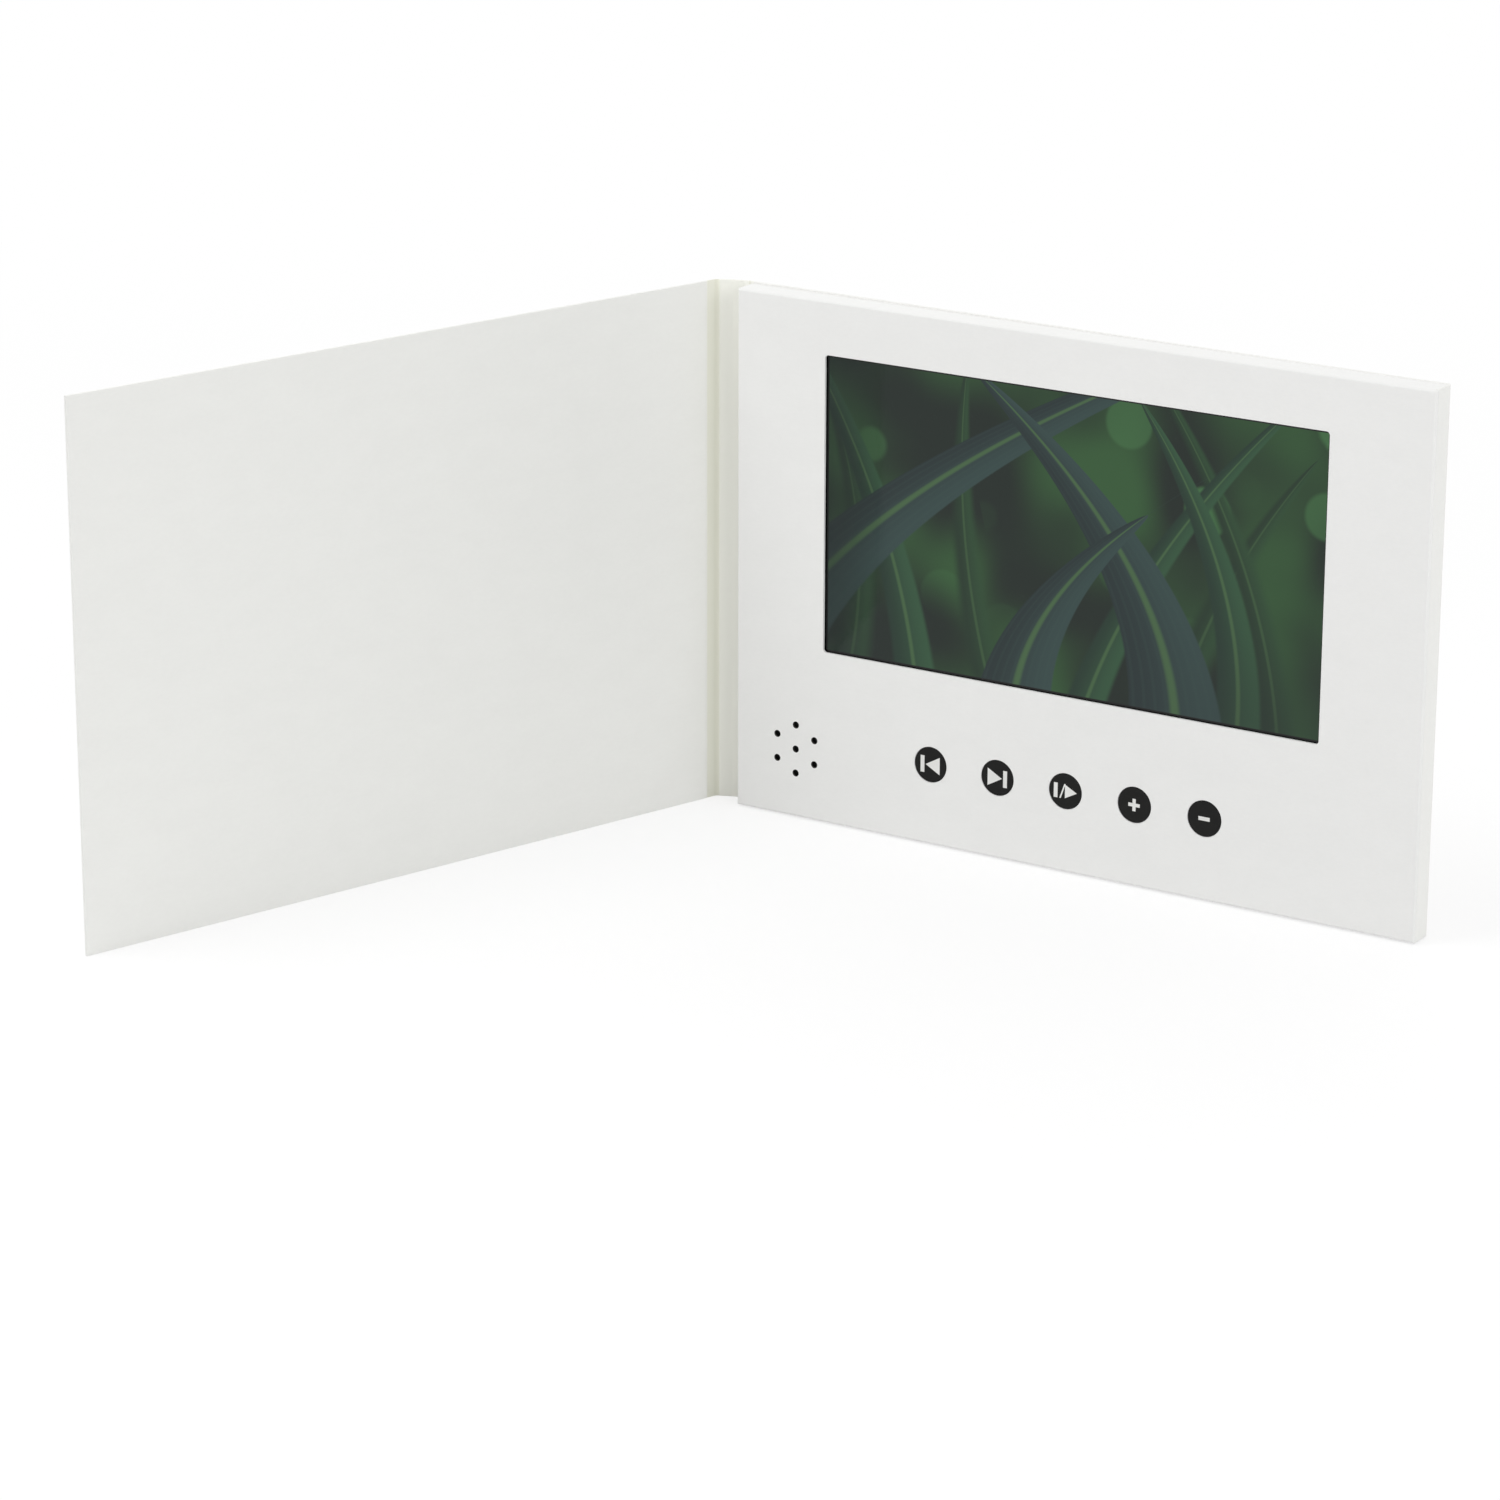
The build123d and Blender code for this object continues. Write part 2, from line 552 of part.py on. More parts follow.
def make_battery():
    foot = BATTERY_START
    rear = BACK_IN - TAPE
    cell_z = (foot + TERRACE, BATTERY_END)
    cell = block(about(PLUG_X, BATTERY_WIDTH), (rear - BATTERY_DEPTH, rear), cell_z)
    cell = fillet(cell.edges().filter_by(Axis.Z), BATTERY_EDGE)
    terrace = block(about(PLUG_X, BATTERY_WIDTH - 2 * TERRACE_INSET), (rear - TERRACE_THICKNESS, rear),
                    (foot, cell_z[0]))
    guard_y = (rear - TERRACE_THICKNESS - GUARD_DEPTH, rear - TERRACE_THICKNESS)
    nodes["battery_cell"] = cell + terrace
    nodes["protection_board"] = block(about(PLUG_X, GUARD_WIDTH), guard_y, (foot, foot + GUARD_HEIGHT))
    nodes["battery_tape"] = block(about(PLUG_X, BATTERY_WIDTH - 2 * TERRACE_INSET), (rear, BACK_IN),
                                  (foot, cell_z[1]))
    lead_y = (guard_y[0] + guard_y[1]) / 2
    step = (DISPLAY_FOOT - BOARD_CEILING) / 3
    leads = []
    for side in (-1, 1):
        x = PLUG_X + side * LEAD_SPACING / 2
        leads.append(lead([
            (x, lead_y, foot),
            (x, lead_y, DISPLAY_FOOT - step),
            (x, LEAD_FRONT, DISPLAY_FOOT - 2 * step),
            (x, LEAD_FRONT, BOARD_CEILING),
        ]))
    nodes["battery_leads"] = Compound(children=leads)


# ---------------------------------------------------------------- loudspeaker

def make_speaker():
    front = FACE_IN + GASKET
    back = front + SPEAKER_DEPTH
    rim = SPEAKER_RADIUS
    throat = rim - GASKET_WIDTH
    pot_front = back - POT_DEPTH
    ring = rod(SPEAKER_X, SPEAKER_Z, rim, FACE_IN, front)
    nodes["speaker_gasket"] = ring - rod(SPEAKER_X, SPEAKER_Z, throat, FACE_IN, front)
    nodes["speaker_basket"] = turned(SPEAKER_X, SPEAKER_Z, [
        (throat, front),
        (rim, front),
        (rim, pot_front + BASKET_FLOOR),
        (POT_RADIUS, pot_front + BASKET_FLOOR),
        (POT_RADIUS, pot_front),
        (throat, pot_front),
    ])
    nodes["speaker_magnet"] = turned(SPEAKER_X, SPEAKER_Z, [
        (0, pot_front),
        (CORE_RADIUS, pot_front),
        (CORE_RADIUS, back - POT_WALL),
        (POT_RADIUS - POT_WALL, back - POT_WALL),
        (POT_RADIUS - POT_WALL, pot_front),
        (POT_RADIUS, pot_front),
        (POT_RADIUS, back),
        (0, back),
    ])
    flat = front + CONE_RISE + CONE_SWING
    edge = throat - CONE_CLEARANCE
    coil = COIL_RADIUS + COIL_WALL
    crest = (coil + edge) / 2
    nodes["speaker_cone"] = turned(SPEAKER_X, SPEAKER_Z, [
        (0, flat - CONE_RISE),
        (coil, flat - CONE_RISE),
        (coil, flat),
        (crest, flat - CONE_RISE),
        (edge, flat),
        (edge, flat + CONE_THICKNESS),
        (coil, flat + CONE_THICKNESS),
        (coil, pot_front + COIL_DEPTH),
        (COIL_RADIUS, pot_front + COIL_DEPTH),
        (COIL_RADIUS, flat + CONE_THICKNESS),
        (0, flat + CONE_THICKNESS),
    ])
    start = SPEAKER_X + POT_RADIUS
    length = BOARD_LEFT + PAD_INSET - start
    leads = []
    for side in (-1, 1):
        z = SPEAKER_Z + side * LEAD_SPACING / 2
        wire = Rot(0, 90, 0) * Cylinder(LEAD_DIAMETER / 2, length)
        leads.append(Pos(start + length / 2, BOARD_FACE - LEAD_DIAMETER / 2, z) * wire)
    nodes["speaker_leads"] = Compound(children=leads)


# ---------------------------------------------------------------- closing sensor

def sensor_run_height():
    """Height at which the sensor's lead runs across to the board."""
    return CHIP_ROW + SENSOR_PLUG_LENGTH / 2


def make_sensor():
    chip_y = (FACE_IN, FACE_IN + HALL_DEPTH)
    board_y = (chip_y[1], chip_y[1] + SENSOR_BOARD_THICKNESS)
    board_z = about(SENSOR_HEIGHT, SENSOR_BOARD_HEIGHT)
    nodes["hall_sensor"] = block(about(SENSOR_X, HALL_WIDTH), chip_y, about(SENSOR_HEIGHT, HALL_HEIGHT))
    nodes["sensor_board"] = block(about(SENSOR_X, SENSOR_BOARD_WIDTH), board_y, board_z)
    depth = board_y[1] + SENSOR_LEAD_THICKNESS / 2
    run = sensor_run_height()
    path = FilletPolyline(
        (SENSOR_X, depth, SENSOR_HEIGHT),
        (SENSOR_X, depth, run),
        (BOARD_RIGHT, depth, run),
        radius=SENSOR_LEAD_BEND,
    )
    section = Plane(origin=path @ 0, x_dir=(1, 0, 0), z_dir=path % 0) * Rectangle(
        SENSOR_LEAD_WIDTH, SENSOR_LEAD_THICKNESS)
    nodes["sensor_lead"] = sweep(section, path)


def place_and_write():
    """Set the standing brochure on Z = 0 with its box centred on the origin, and write the pieces."""
    box = Compound(children=[shape.moved(Location()) for shape in nodes.values()]).bounding_box()
    shift = Pos(-(box.min.X + box.max.X) / 2, -(box.min.Y + box.max.Y) / 2, OVERHANG)
    os.makedirs("parts", exist_ok=True)
    for name, shape in nodes.items():
        export_step(shift * shape, f"parts/{name}.step")
    return shift.position


make_cover()
make_face_panel()
make_spacer_frame()
make_display()
make_ribbon()
make_board()
make_port()
make_keys()
make_battery()
make_speaker()
make_sensor()
origin_shift = place_and_write()
print("module frame's origin lies at", origin_shift)
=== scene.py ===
"""Looks of the video brochure: creased card cover, face panel, lit screen, keys and their signs.

The scene is in metres in the row frame. Sizes given in mm are the module's own: X along the face
from its spine edge, Y into the module from the face, Z up from the face's foot.
"""
import json
import math

import bmesh
import bpy
from mathutils import Matrix, Vector


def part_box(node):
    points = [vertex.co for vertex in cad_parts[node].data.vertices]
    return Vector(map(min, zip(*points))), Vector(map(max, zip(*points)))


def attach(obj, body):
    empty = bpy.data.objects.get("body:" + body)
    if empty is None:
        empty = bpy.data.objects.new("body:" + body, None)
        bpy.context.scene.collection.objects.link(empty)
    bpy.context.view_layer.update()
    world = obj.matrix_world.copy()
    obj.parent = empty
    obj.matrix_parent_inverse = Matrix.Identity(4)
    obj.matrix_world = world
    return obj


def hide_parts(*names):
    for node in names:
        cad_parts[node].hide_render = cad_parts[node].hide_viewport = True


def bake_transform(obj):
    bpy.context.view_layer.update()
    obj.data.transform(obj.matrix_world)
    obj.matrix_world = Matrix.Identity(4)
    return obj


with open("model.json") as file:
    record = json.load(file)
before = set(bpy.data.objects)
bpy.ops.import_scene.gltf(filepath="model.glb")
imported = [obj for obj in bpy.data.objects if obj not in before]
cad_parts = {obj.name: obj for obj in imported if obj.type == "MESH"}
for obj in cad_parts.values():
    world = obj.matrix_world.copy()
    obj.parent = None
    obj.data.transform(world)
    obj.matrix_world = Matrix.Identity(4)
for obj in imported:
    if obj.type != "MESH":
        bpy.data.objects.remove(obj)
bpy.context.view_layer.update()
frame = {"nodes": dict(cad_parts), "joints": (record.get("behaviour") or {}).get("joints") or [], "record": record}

MM = 0.001
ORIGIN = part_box("face_panel")[0]
FACE_SIZE = (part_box("face_panel")[1] - ORIGIN) / MM
JOINTS = {joint["name"]: joint for joint in frame["joints"]}

# Card and its creases, in mm
CARD = 0.9                 # thickness of the cover card
SHEET = 0.15               # of its outer sheet and of its liner
SHEET_SETBACK = 0.05       # of the cut sheets behind the core's edge
OVERHANG = 0.5             # of the card over the module, at head and foot
FORE_OVERHANG = 0.15       # the same at the fore edge
FRONT_WIDTH = 210.0
FACE_CARD = 0.8            # thickness of the face panel's card
CREASE_RADIUS = 2.6
FORE_EDGE_RADIUS = 1.2
FACE_FOLD_RADIUS = 0.6
FRONT_PRESS = 3.9          # strip pressed in beside the front crease, on the front cover
SPINE_PRESS = 1.6          # the same on the spine and beside the back crease
PRESS_DEPTH = 0.2
PRESS_SLOPE = 0.5          # from a pressed strip up to the flat
OUTER_PRESS = 0.14         # line pressed into the outer sheet at each crease
SPINE_BULGE = 0.45
FRONT_CREASE_ENDS = (2.0, 1.8)      # where the bend ends on each side of the crease
BACK_CREASE_ENDS = (1.6, 1.1)

# Mesh of the card
PRESS_STEP = 0.3           # mm between uprights in a pressed strip
RUN_STEP = 7.0             # mm between uprights on a flat panel
BEND_STEPS = 8
CARD_ROWS = 16             # from foot to head

# Tones of the card sheet: its colour is multiplied by them
SPINE_SCORE = 0.5          # score of the spine's flat; the pressed strips have 1
MOTTLE_TONE = 0.976
# Painted light: the spine's flat is made lighter and a little yellower than the card
SPINE_PAINTED_LIGHT_TONE = (1.035, 1.035, 0.985)
# Painted shade: darker beige in the pressed strips beside the creases
PRESSED_SHADE_TONE = (0.95, 0.95, 0.865)
# Painted shade along the creases, on both sides of the card
CREASE_SHADE_TONE = (0.90, 0.90, 0.80)

# Window, holes and keys, in mm
WINDOW = (28.2, 180.4, 49.2, 133.2)
WINDOW_RADIUS = 1.0
SPEAKER = (19.5, 19.7)
SPEAKER_CIRCLE = 7.0
SPEAKER_HOLE = 1.0
PORT_CUT = (101.05, 108.95, 1.0, 5.1)
PORT_RADIUS = 1.3
FACE_EDGE = 0.07           # rounding of the cut edges
HOLE_WALL = 0.03           # depth at which a speaker hole's rounded edge turns into its wall
PAST = 5                   # how far the cutters run past what they cut
KEY_NAMES = ("previous", "next", "play", "plus", "minus")
KEYS = {name: 63.1 + 21.15 * i for i, name in enumerate(KEY_NAMES)}
KEY_HEIGHT = 22.9
KEY_RADIUS = 4.95
KEY_GAP = 0.12
KEY_FRONT = -0.15          # a cap stands proud of the face
KEY_BACK = 1.35
KEY_EDGE = 0.22            # rounding of a cap's rim
KEY_FLANGE = 1.1           # of the plate round a cap's foot
KEY_PLATE = 0.5            # thickness of that plate
KEY_OVERLAP = 0.05         # of cap and plate
PLATE_RADIUS = 0.8
SIGN_PROUD = 0.02
SIGN_SUNK = 0.05


def place(x, y, z):
    """A point of the module, in mm, as a point of the row frame."""
    return ORIGIN + Vector((x, y, z)) * MM


# ------------------------------------------------------------------ materials

class Sum:
    """A shader value that can be reckoned with, through Math nodes."""

    def __init__(self, shader, socket):
        self.shader = shader
        self.socket = socket

    def op(self, kind, other=None, swap=False):
        node = self.shader.add("ShaderNodeMath", operation=kind)
        values = (other, self) if swap else (self, other)
        for socket, value in zip(node.inputs, values):
            if value is not None:
                self.shader.put(socket, value)
        return Sum(self.shader, node.outputs[0])

    def __add__(self, other):
        return self.op("ADD", other)

    def __sub__(self, other):
        return self.op("SUBTRACT", other)

    def __rsub__(self, other):
        return self.op("SUBTRACT", other, swap=True)

    def __mul__(self, other):
        return self.op("MULTIPLY", other)

    def __truediv__(self, other):
        return self.op("DIVIDE", other)

    def __pow__(self, other):
        return self.op("POWER", other)

    def abs(self):
        return self.op("ABSOLUTE")

    def sin(self):
        return self.op("SINE")

    def most(self, other):
        return self.op("MAXIMUM", other)

    def step(self, low, high):
        """0 below low, 1 above high, smooth between; low may be the larger."""
        node = self.shader.add("ShaderNodeMapRange", interpolation_type="SMOOTHSTEP")
        self.shader.put(node.inputs["Value"], self)
        node.inputs["From Min"].default_value = low
        node.inputs["From Max"].default_value = high
        return Sum(self.shader, node.outputs["Result"])


class Shader:
    """One procedural material under construction."""

    def __init__(self, name, color, roughness, **inputs):
        self.material = bpy.data.materials.new(name)
        self.material.use_nodes = True
        self.tree = self.material.node_tree
        self.bsdf = self.tree.nodes["Principled BSDF"]
        self.bsdf.inputs["Base Color"].default_value = (*color, 1)
        self.bsdf.inputs["Roughness"].default_value = roughness
        for socket, value in inputs.items():
            self.bsdf.inputs[socket.replace("_", " ")].default_value = value

    def add(self, kind, **settings):
        node = self.tree.nodes.new(kind)
        for key, value in settings.items():
            setattr(node, key, value)
        return node

    def put(self, socket, value):
        if isinstance(value, Sum):
            value = value.socket
        if isinstance(value, bpy.types.NodeSocket):
            self.tree.links.new(value, socket)
        elif isinstance(value, (tuple, list)) and len(value) == 3:
            socket.default_value = (*value, 1) if len(socket.default_value) == 4 else value
        else:
            socket.default_value = value

    def position(self):
        return self.add("ShaderNodeTexCoord").outputs["Object"]

    def stretched(self, scale):
        node = self.add("ShaderNodeMapping")
        self.put(node.inputs["Vector"], self.position())
        node.inputs["Scale"].default_value = scale
        return node.outputs["Vector"]

    def noise(self, scale, detail=3.0, vector=None, roughness=0.55, distortion=0.0):
        node = self.add("ShaderNodeTexNoise")
        self.put(node.inputs["Vector"], vector or self.position())
        settings = {"Scale": scale, "Detail": detail,
                    "Roughness": roughness, "Distortion": distortion}
        for socket, value in settings.items():
            node.inputs[socket].default_value = value
        return Sum(self, node.outputs["Fac"])

    def cells(self, scale, vector):
        """Distance to the nearest of many scattered points, and that point's random colour."""
        node = self.add("ShaderNodeTexVoronoi")
        self.put(node.inputs["Vector"], vector)
        node.inputs["Scale"].default_value = scale
        return Sum(self, node.outputs["Distance"]), node.outputs["Color"]

    def attribute(self, name):
        return Sum(self, self.add("ShaderNodeAttribute", attribute_name=name).outputs["Fac"])

    def mix(self, share, one, other):
        node = self.add("ShaderNodeMix", data_type="RGBA")
        self.put(node.inputs[0], share)
        self.put(node.inputs[6], one)
        self.put(node.inputs[7], other)
        return node.outputs[2]

    def color(self, value):
        self.put(self.bsdf.inputs["Base Color"], value)

    def rough(self, value):
        self.put(self.bsdf.inputs["Roughness"], value)

    def bump(self, height, depth, strength):
        """Adds relief, its full depth in mm, to the relief that is there."""
        node = self.add("ShaderNodeBump")
        self.put(node.inputs["Height"], height)
        node.inputs["Distance"].default_value = depth * MM
        node.inputs["Strength"].default_value = strength
        under = self.bsdf.inputs["Normal"].links
        if under:
            self.put(node.inputs["Normal"], under[0].from_socket)
        self.put(self.bsdf.inputs["Normal"], node.outputs["Normal"])


def scaled(color, factors):
    """A colour times one factor, or times one for each channel, with no channel above 1."""
    if isinstance(factors, float):
        factors = (factors,) * 3
    return tuple(min(1.0, c * k) for c, k in zip(color, factors))


def card_sheet(name, color):
    """Matt laminated printing sheet over board: fine fibres and a faint mottle, with painted light on the spine's
    flat and painted shade in the pressed strips and along the creases.
    """
    shader = Shader(name, color, 0.6)
    mottle = shader.noise(1.0, 4.0, shader.stretched((70.0, 70.0, 160.0)))
    fleck = shader.noise(1.0, 2.0, shader.stretched((620.0, 620.0, 1300.0)), 0.6)
    weft = shader.noise(1.0, 3.0, shader.stretched((700.0, 700.0, 3200.0)), 0.65)
    warp = shader.noise(1.0, 3.0, shader.stretched((3200.0, 3200.0, 700.0)), 0.65)
    fibre = (weft + warp) * 0.5
    cracks = shader.noise(1.0, 3.0, shader.stretched((5200.0, 5200.0, 500.0)), 0.6)
    score, fold = shader.attribute("score"), shader.attribute("fold")
    patches = mottle.step(0.3, 0.7) * 0.5 + fleck.step(0.25, 0.75) * 0.5
    tone = shader.mix(patches, scaled(color, MOTTLE_TONE), color)
    # Painted light on the spine's flat
    tone = shader.mix(score.step(0.0, SPINE_SCORE) * 0.8, tone, scaled(color, SPINE_PAINTED_LIGHT_TONE))
    # Painted shade in the pressed strips
    tone = shader.mix(score.step(SPINE_SCORE, 1.0), tone, scaled(color, PRESSED_SHADE_TONE))
    # Painted shade along each crease
    shader.color(shader.mix((score * 0.6 + 0.4) * fold, tone, scaled(color, CREASE_SHADE_TONE)))
    shader.rough(fibre * 0.12 + 0.53)
    shader.bump(fibre, 0.04, 0.7)
    shader.bump(shader.noise(26.0, 2.0), 0.6, 0.12)
    shader.bump(fold * cracks, 0.04, 0.5)
    return shader.material


def raw_edge(name):
    """Cut edge of the card: pressed layers of cream pulp between two white sheets."""
    shader = Shader(name, (0.70, 0.69, 0.52), 0.9)
    ply = shader.attribute("ply")
    fibre = shader.noise(1.0, 5.0, shader.stretched((1500.0, 1500.0, 5200.0)), 0.75)
    layers = (ply * 34.0 + fibre * 3.0).sin() * 0.5 + 0.5
    pulp = shader.mix(layers, (0.61, 0.60, 0.42), (0.75, 0.745, 0.57))
    sheet = (ply - 0.5).abs().step(0.32, 0.34)
    shader.color(shader.mix(sheet, pulp, (0.87, 0.87, 0.85)))
    shader.bump(layers * 0.4 + fibre, 0.06, 0.7)
    return shader.material


def moulded(name, color, roughness, grain=1400.0, depth=0.02, specular=0.5):
    """Moulded plastic or rubber with a fine spark-eroded grain, its depth in mm."""
    shader = Shader(name, color, roughness, Specular_IOR_Level=specular)
    grains = shader.noise(grain, 3.0)
    cloud = shader.noise(120.0, 3.0)
    shader.color(shader.mix(cloud, scaled(color, 0.85), scaled(color, 1.12)))
    shader.rough(grains * 0.14 + (roughness - 0.07))
    shader.bump(grains, depth, 0.6)
    return shader.material


def metal(name, color, roughness, run=(300.0, 300.0, 9000.0)):
    """Rolled or drawn metal with fine lines along its run."""
    shader = Shader(name, color, roughness, Metallic=1.0)
    lines = shader.noise(1.0, 4.0, shader.stretched(run), 0.65)
    shader.color(shader.mix(lines, scaled(color, 0.82), color))
    shader.rough(lines * 0.2 + (roughness - 0.1))
    shader.bump(lines, 0.01, 0.5)
    return shader.material


def circuit(name):
    """Solder mask over copper tracks, with a weave showing faintly."""
    shader = Shader(name, (0.02, 0.14, 0.06), 0.35)
    tracks = shader.noise(420.0, 1.0, distortion=1.5).step(0.49, 0.53)
    weave = shader.noise(2600.0, 2.0)
    shader.color(shader.mix(tracks, (0.012, 0.085, 0.035), (0.03, 0.19, 0.075)))
    shader.rough(weave * 0.1 + 0.3)
    shader.bump(tracks, 0.03, 0.5)
    return shader.material


def cell_foil(name):
    """Laminated aluminium pouch, slightly creased."""
    shader = Shader(name, (0.74, 0.75, 0.76), 0.34, Metallic=1.0)
    creases = shader.noise(160.0, 5.0, distortion=0.8)
    shader.rough(creases * 0.2 + 0.24)
    shader.bump(creases, 0.1, 0.5)
    return shader.material


# Blades of grass on the lit display, far ones first. Each has the place of its foot and the height
# of its tip, its slope and curl to the right, its half width, its blur, and its two greens.
FAR_GREEN = ((0.005, 0.022, 0.009), (0.014, 0.052, 0.018))
MID_GREEN = ((0.006, 0.026, 0.014), (0.020, 0.070, 0.030))
NEAR_TEAL = ((0.008, 0.019, 0.020), (0.022, 0.049, 0.046))
BLADES = (
    (0.10, 0.95, 0.20, -0.35, 0.060, 0.50, FAR_GREEN),
    (0.62, 1.05, -0.30, 0.20, 0.055, 0.45, FAR_GREEN),
    (1.30, 0.90, 0.25, 0.30, 0.065, 0.50, FAR_GREEN),
    (1.66, 1.15, -0.10, -0.30, 0.060, 0.45, FAR_GREEN),
    (0.34, 1.20, -0.15, -0.25, 0.075, 0.14, MID_GREEN),
    (0.98, 1.12, 0.35, 0.30, 0.070, 0.16, MID_GREEN),
    (1.52, 1.00, 0.05, -0.42, 0.080, 0.12, MID_GREEN),
    (-0.22, 1.40, 0.60, 0.62, 0.190, 0.04, NEAR_TEAL),
    (1.30, 1.02, -0.10, -0.62, 0.165, 0.04, NEAR_TEAL),
    (0.72, 0.64, 0.18, 0.85, 0.130, 0.04, NEAR_TEAL),
)
DEWY_BLADE = BLADES[7]
RIB_BLUR = 0.1             # blades less blurred than this show their ribs
MIDRIB = (0.050, 0.115, 0.042)
RIBS = (0.030, 0.070, 0.055)


def soft_lights(shader, plane, v):
    """Soft lights between the leaves of far trees."""
    glow = shader.noise(2.1, 1.0, plane, 0.4).step(0.38, 0.68)
    picture = shader.mix(glow, (0.003, 0.010, 0.006), (0.022, 0.080, 0.022))
    away, color = shader.cells(4.3, plane)
    tint = shader.add("ShaderNodeSeparateColor")
    shader.put(tint.inputs[0], color)
    disc = away.step(0.40, 0.33) * Sum(shader, tint.outputs[0]).step(0.45, 1.0)
    return shader.mix(disc * v.step(0.15, 0.7) * 0.8, picture, (0.046, 0.150, 0.048))


def off_centre(x, v, foot, slope, curl):
    """How far to the right of a blade's middle line the points x, v lie."""
    return x - (v * curl + slope) * v - foot


def add_blade(shader, picture, x, v, foot, tip, slope, curl, width, blur, greens):
    """The picture with one blade over it."""
    half = (1.0 - v * (1 / tip)).most(0.0) ** 0.6 * width + 0.0004
    across = off_centre(x, v, foot, slope, curl) / half
    away = across.abs()
    leaf = shader.mix((across * 0.5 + 0.5).step(0.0, 1.0), *greens)
    if blur < RIB_BLUR:
        leaf = shader.mix((across * 26.0).sin().step(0.2, 1.0) * 0.12, leaf, RIBS)
    leaf = shader.mix(away.step(0.16, 0.03) * (0.9 - blur), leaf, MIDRIB)
    return shader.mix(away.step(1 + blur, 1 - blur), picture, leaf)


def add_dew(shader, picture, plane, x, v):
    """The picture with beads of dew on the nearest blade: dark body, light rim and a glint."""
    foot, _, slope, curl, width = DEWY_BLADE[:5]
    on_blade = off_centre(x, v, foot, slope, curl).abs().step(width * 0.8, width * 0.6)
    away, _ = shader.cells(11.0, plane)
    drop = away.step(0.17, 0.14) * shader.noise(3.1, 0.0, plane, 0.2).step(0.5, 0.54) * on_blade
    picture = shader.mix(drop * 0.55, picture, (0.010, 0.036, 0.030))
    picture = shader.mix(drop * away.step(0.10, 0.16) * 0.55, picture, (0.060, 0.110, 0.095))
    return shader.mix(drop * away.step(0.05, 0.02), picture, (0.13, 0.19, 0.17))


def screen_glass(name):
    """Lit display behind its glass: blades of grass before soft green lights."""
    shader = Shader(name, (0.002, 0.0025, 0.0025), 0.05, IOR=1.4)
    uv = shader.add("ShaderNodeUVMap", uv_map="picture")
    split = shader.add("ShaderNodeSeparateXYZ")
    shader.put(split.inputs[0], uv.outputs["UV"])
    u, v = Sum(shader, split.outputs[0]), Sum(shader, split.outputs[1])
    x = u * ((WINDOW[1] - WINDOW[0]) / (WINDOW[3] - WINDOW[2]))
    flat = shader.add("ShaderNodeCombineXYZ")
    shader.put(flat.inputs[0], x)
    shader.put(flat.inputs[1], v)
    plane = flat.outputs[0]

    picture = soft_lights(shader, plane, v)
    for blade in BLADES:
        picture = add_blade(shader, picture, x, v, *blade)
    picture = add_dew(shader, picture, plane, x, v)
    # Darker towards the left, a painted reflection of the front cover's dimmer image in the glass, and towards the
    # lower right, a vignette of the picture itself
    shade = (u.step(0.17, 0.0) * 0.6).most(u.step(0.6, 1.0) * v.step(0.45, 0.0) * 0.45)
    picture = shader.mix(shade, picture, (0.004, 0.009, 0.009))
    # Black band just inside the window's edges
    inside_rim = (u - 0.5).abs().step(0.4957, 0.4945) * (v - 0.5).abs().step(0.4925, 0.4905)
    picture = shader.mix(inside_rim, (0.0, 0.0, 0.0), picture)
    shader.put(shader.bsdf.inputs["Emission Color"], picture)
    shader.bsdf.inputs["Emission Strength"].default_value = 1.0
    return shader.material


# Each look's maker, and what it is given after the name
UPRIGHT_RUN = (6000.0, 6000.0, 400.0)
LOOKS = {
    "cover_sheet": (card_sheet, (0.872, 0.874, 0.848)),
    "card_core": (raw_edge,),
    "face_card": (card_sheet, (0.860, 0.860, 0.848)),
    # Near-black: painted shade on the card's cut walls deep in the speaker holes
    "cut_wall": (moulded, (0.05, 0.048, 0.044), 0.9, 2400.0, 0.05),
    "greyboard": (moulded, (0.45, 0.43, 0.40), 0.9, 900.0, 0.06),
    "screen_glass": (screen_glass,),
    "display_steel": (metal, (0.62, 0.63, 0.64), 0.35),
    "light_guide": (moulded, (0.17, 0.25, 0.19), 0.25),
    "adhesive_film": (moulded, (0.03, 0.03, 0.03), 0.5),
    "flex_ribbon": (moulded, (0.55, 0.28, 0.06), 0.28),
    "circuit_board": (circuit,),
    "foam": (moulded, (0.03, 0.03, 0.032), 0.95, 2200.0, 0.12),
    "chip_resin": (moulded, (0.02, 0.02, 0.022), 0.55),
    "nickel_can": (metal, (0.70, 0.69, 0.66), 0.3),
    "connector_plastic": (moulded, (0.80, 0.77, 0.68), 0.45),
    "port_steel": (metal, (0.66, 0.67, 0.67), 0.3, UPRIGHT_RUN),
    "port_plastic": (moulded, (0.015, 0.015, 0.015), 0.5),
    "contact_metal": (metal, (0.83, 0.62, 0.28), 0.25, UPRIGHT_RUN),
    "key_plastic": (moulded, (0.009, 0.009, 0.0085), 0.5, 1400.0, 0.02, 0.16),
    "sign_paint": (moulded, (0.78, 0.78, 0.76), 0.5),
    "stem_plastic": (moulded, (0.04, 0.04, 0.04), 0.5),
    "switch_plastic": (moulded, (0.03, 0.03, 0.034), 0.5),
    "pouch_foil": (cell_foil,),
    "wire_jacket": (moulded, (0.42, 0.03, 0.025), 0.4),
    "speaker_plastic": (moulded, (0.018, 0.018, 0.018), 0.6),
    "magnet_nickel": (metal, (0.70, 0.70, 0.68), 0.22),
    "diaphragm_film": (moulded, (0.02, 0.02, 0.02), 0.3),
}
looks = {name: make(name, *values) for name, (make, *values) in LOOKS.items()}


# ------------------------------------------------------------------ pieces

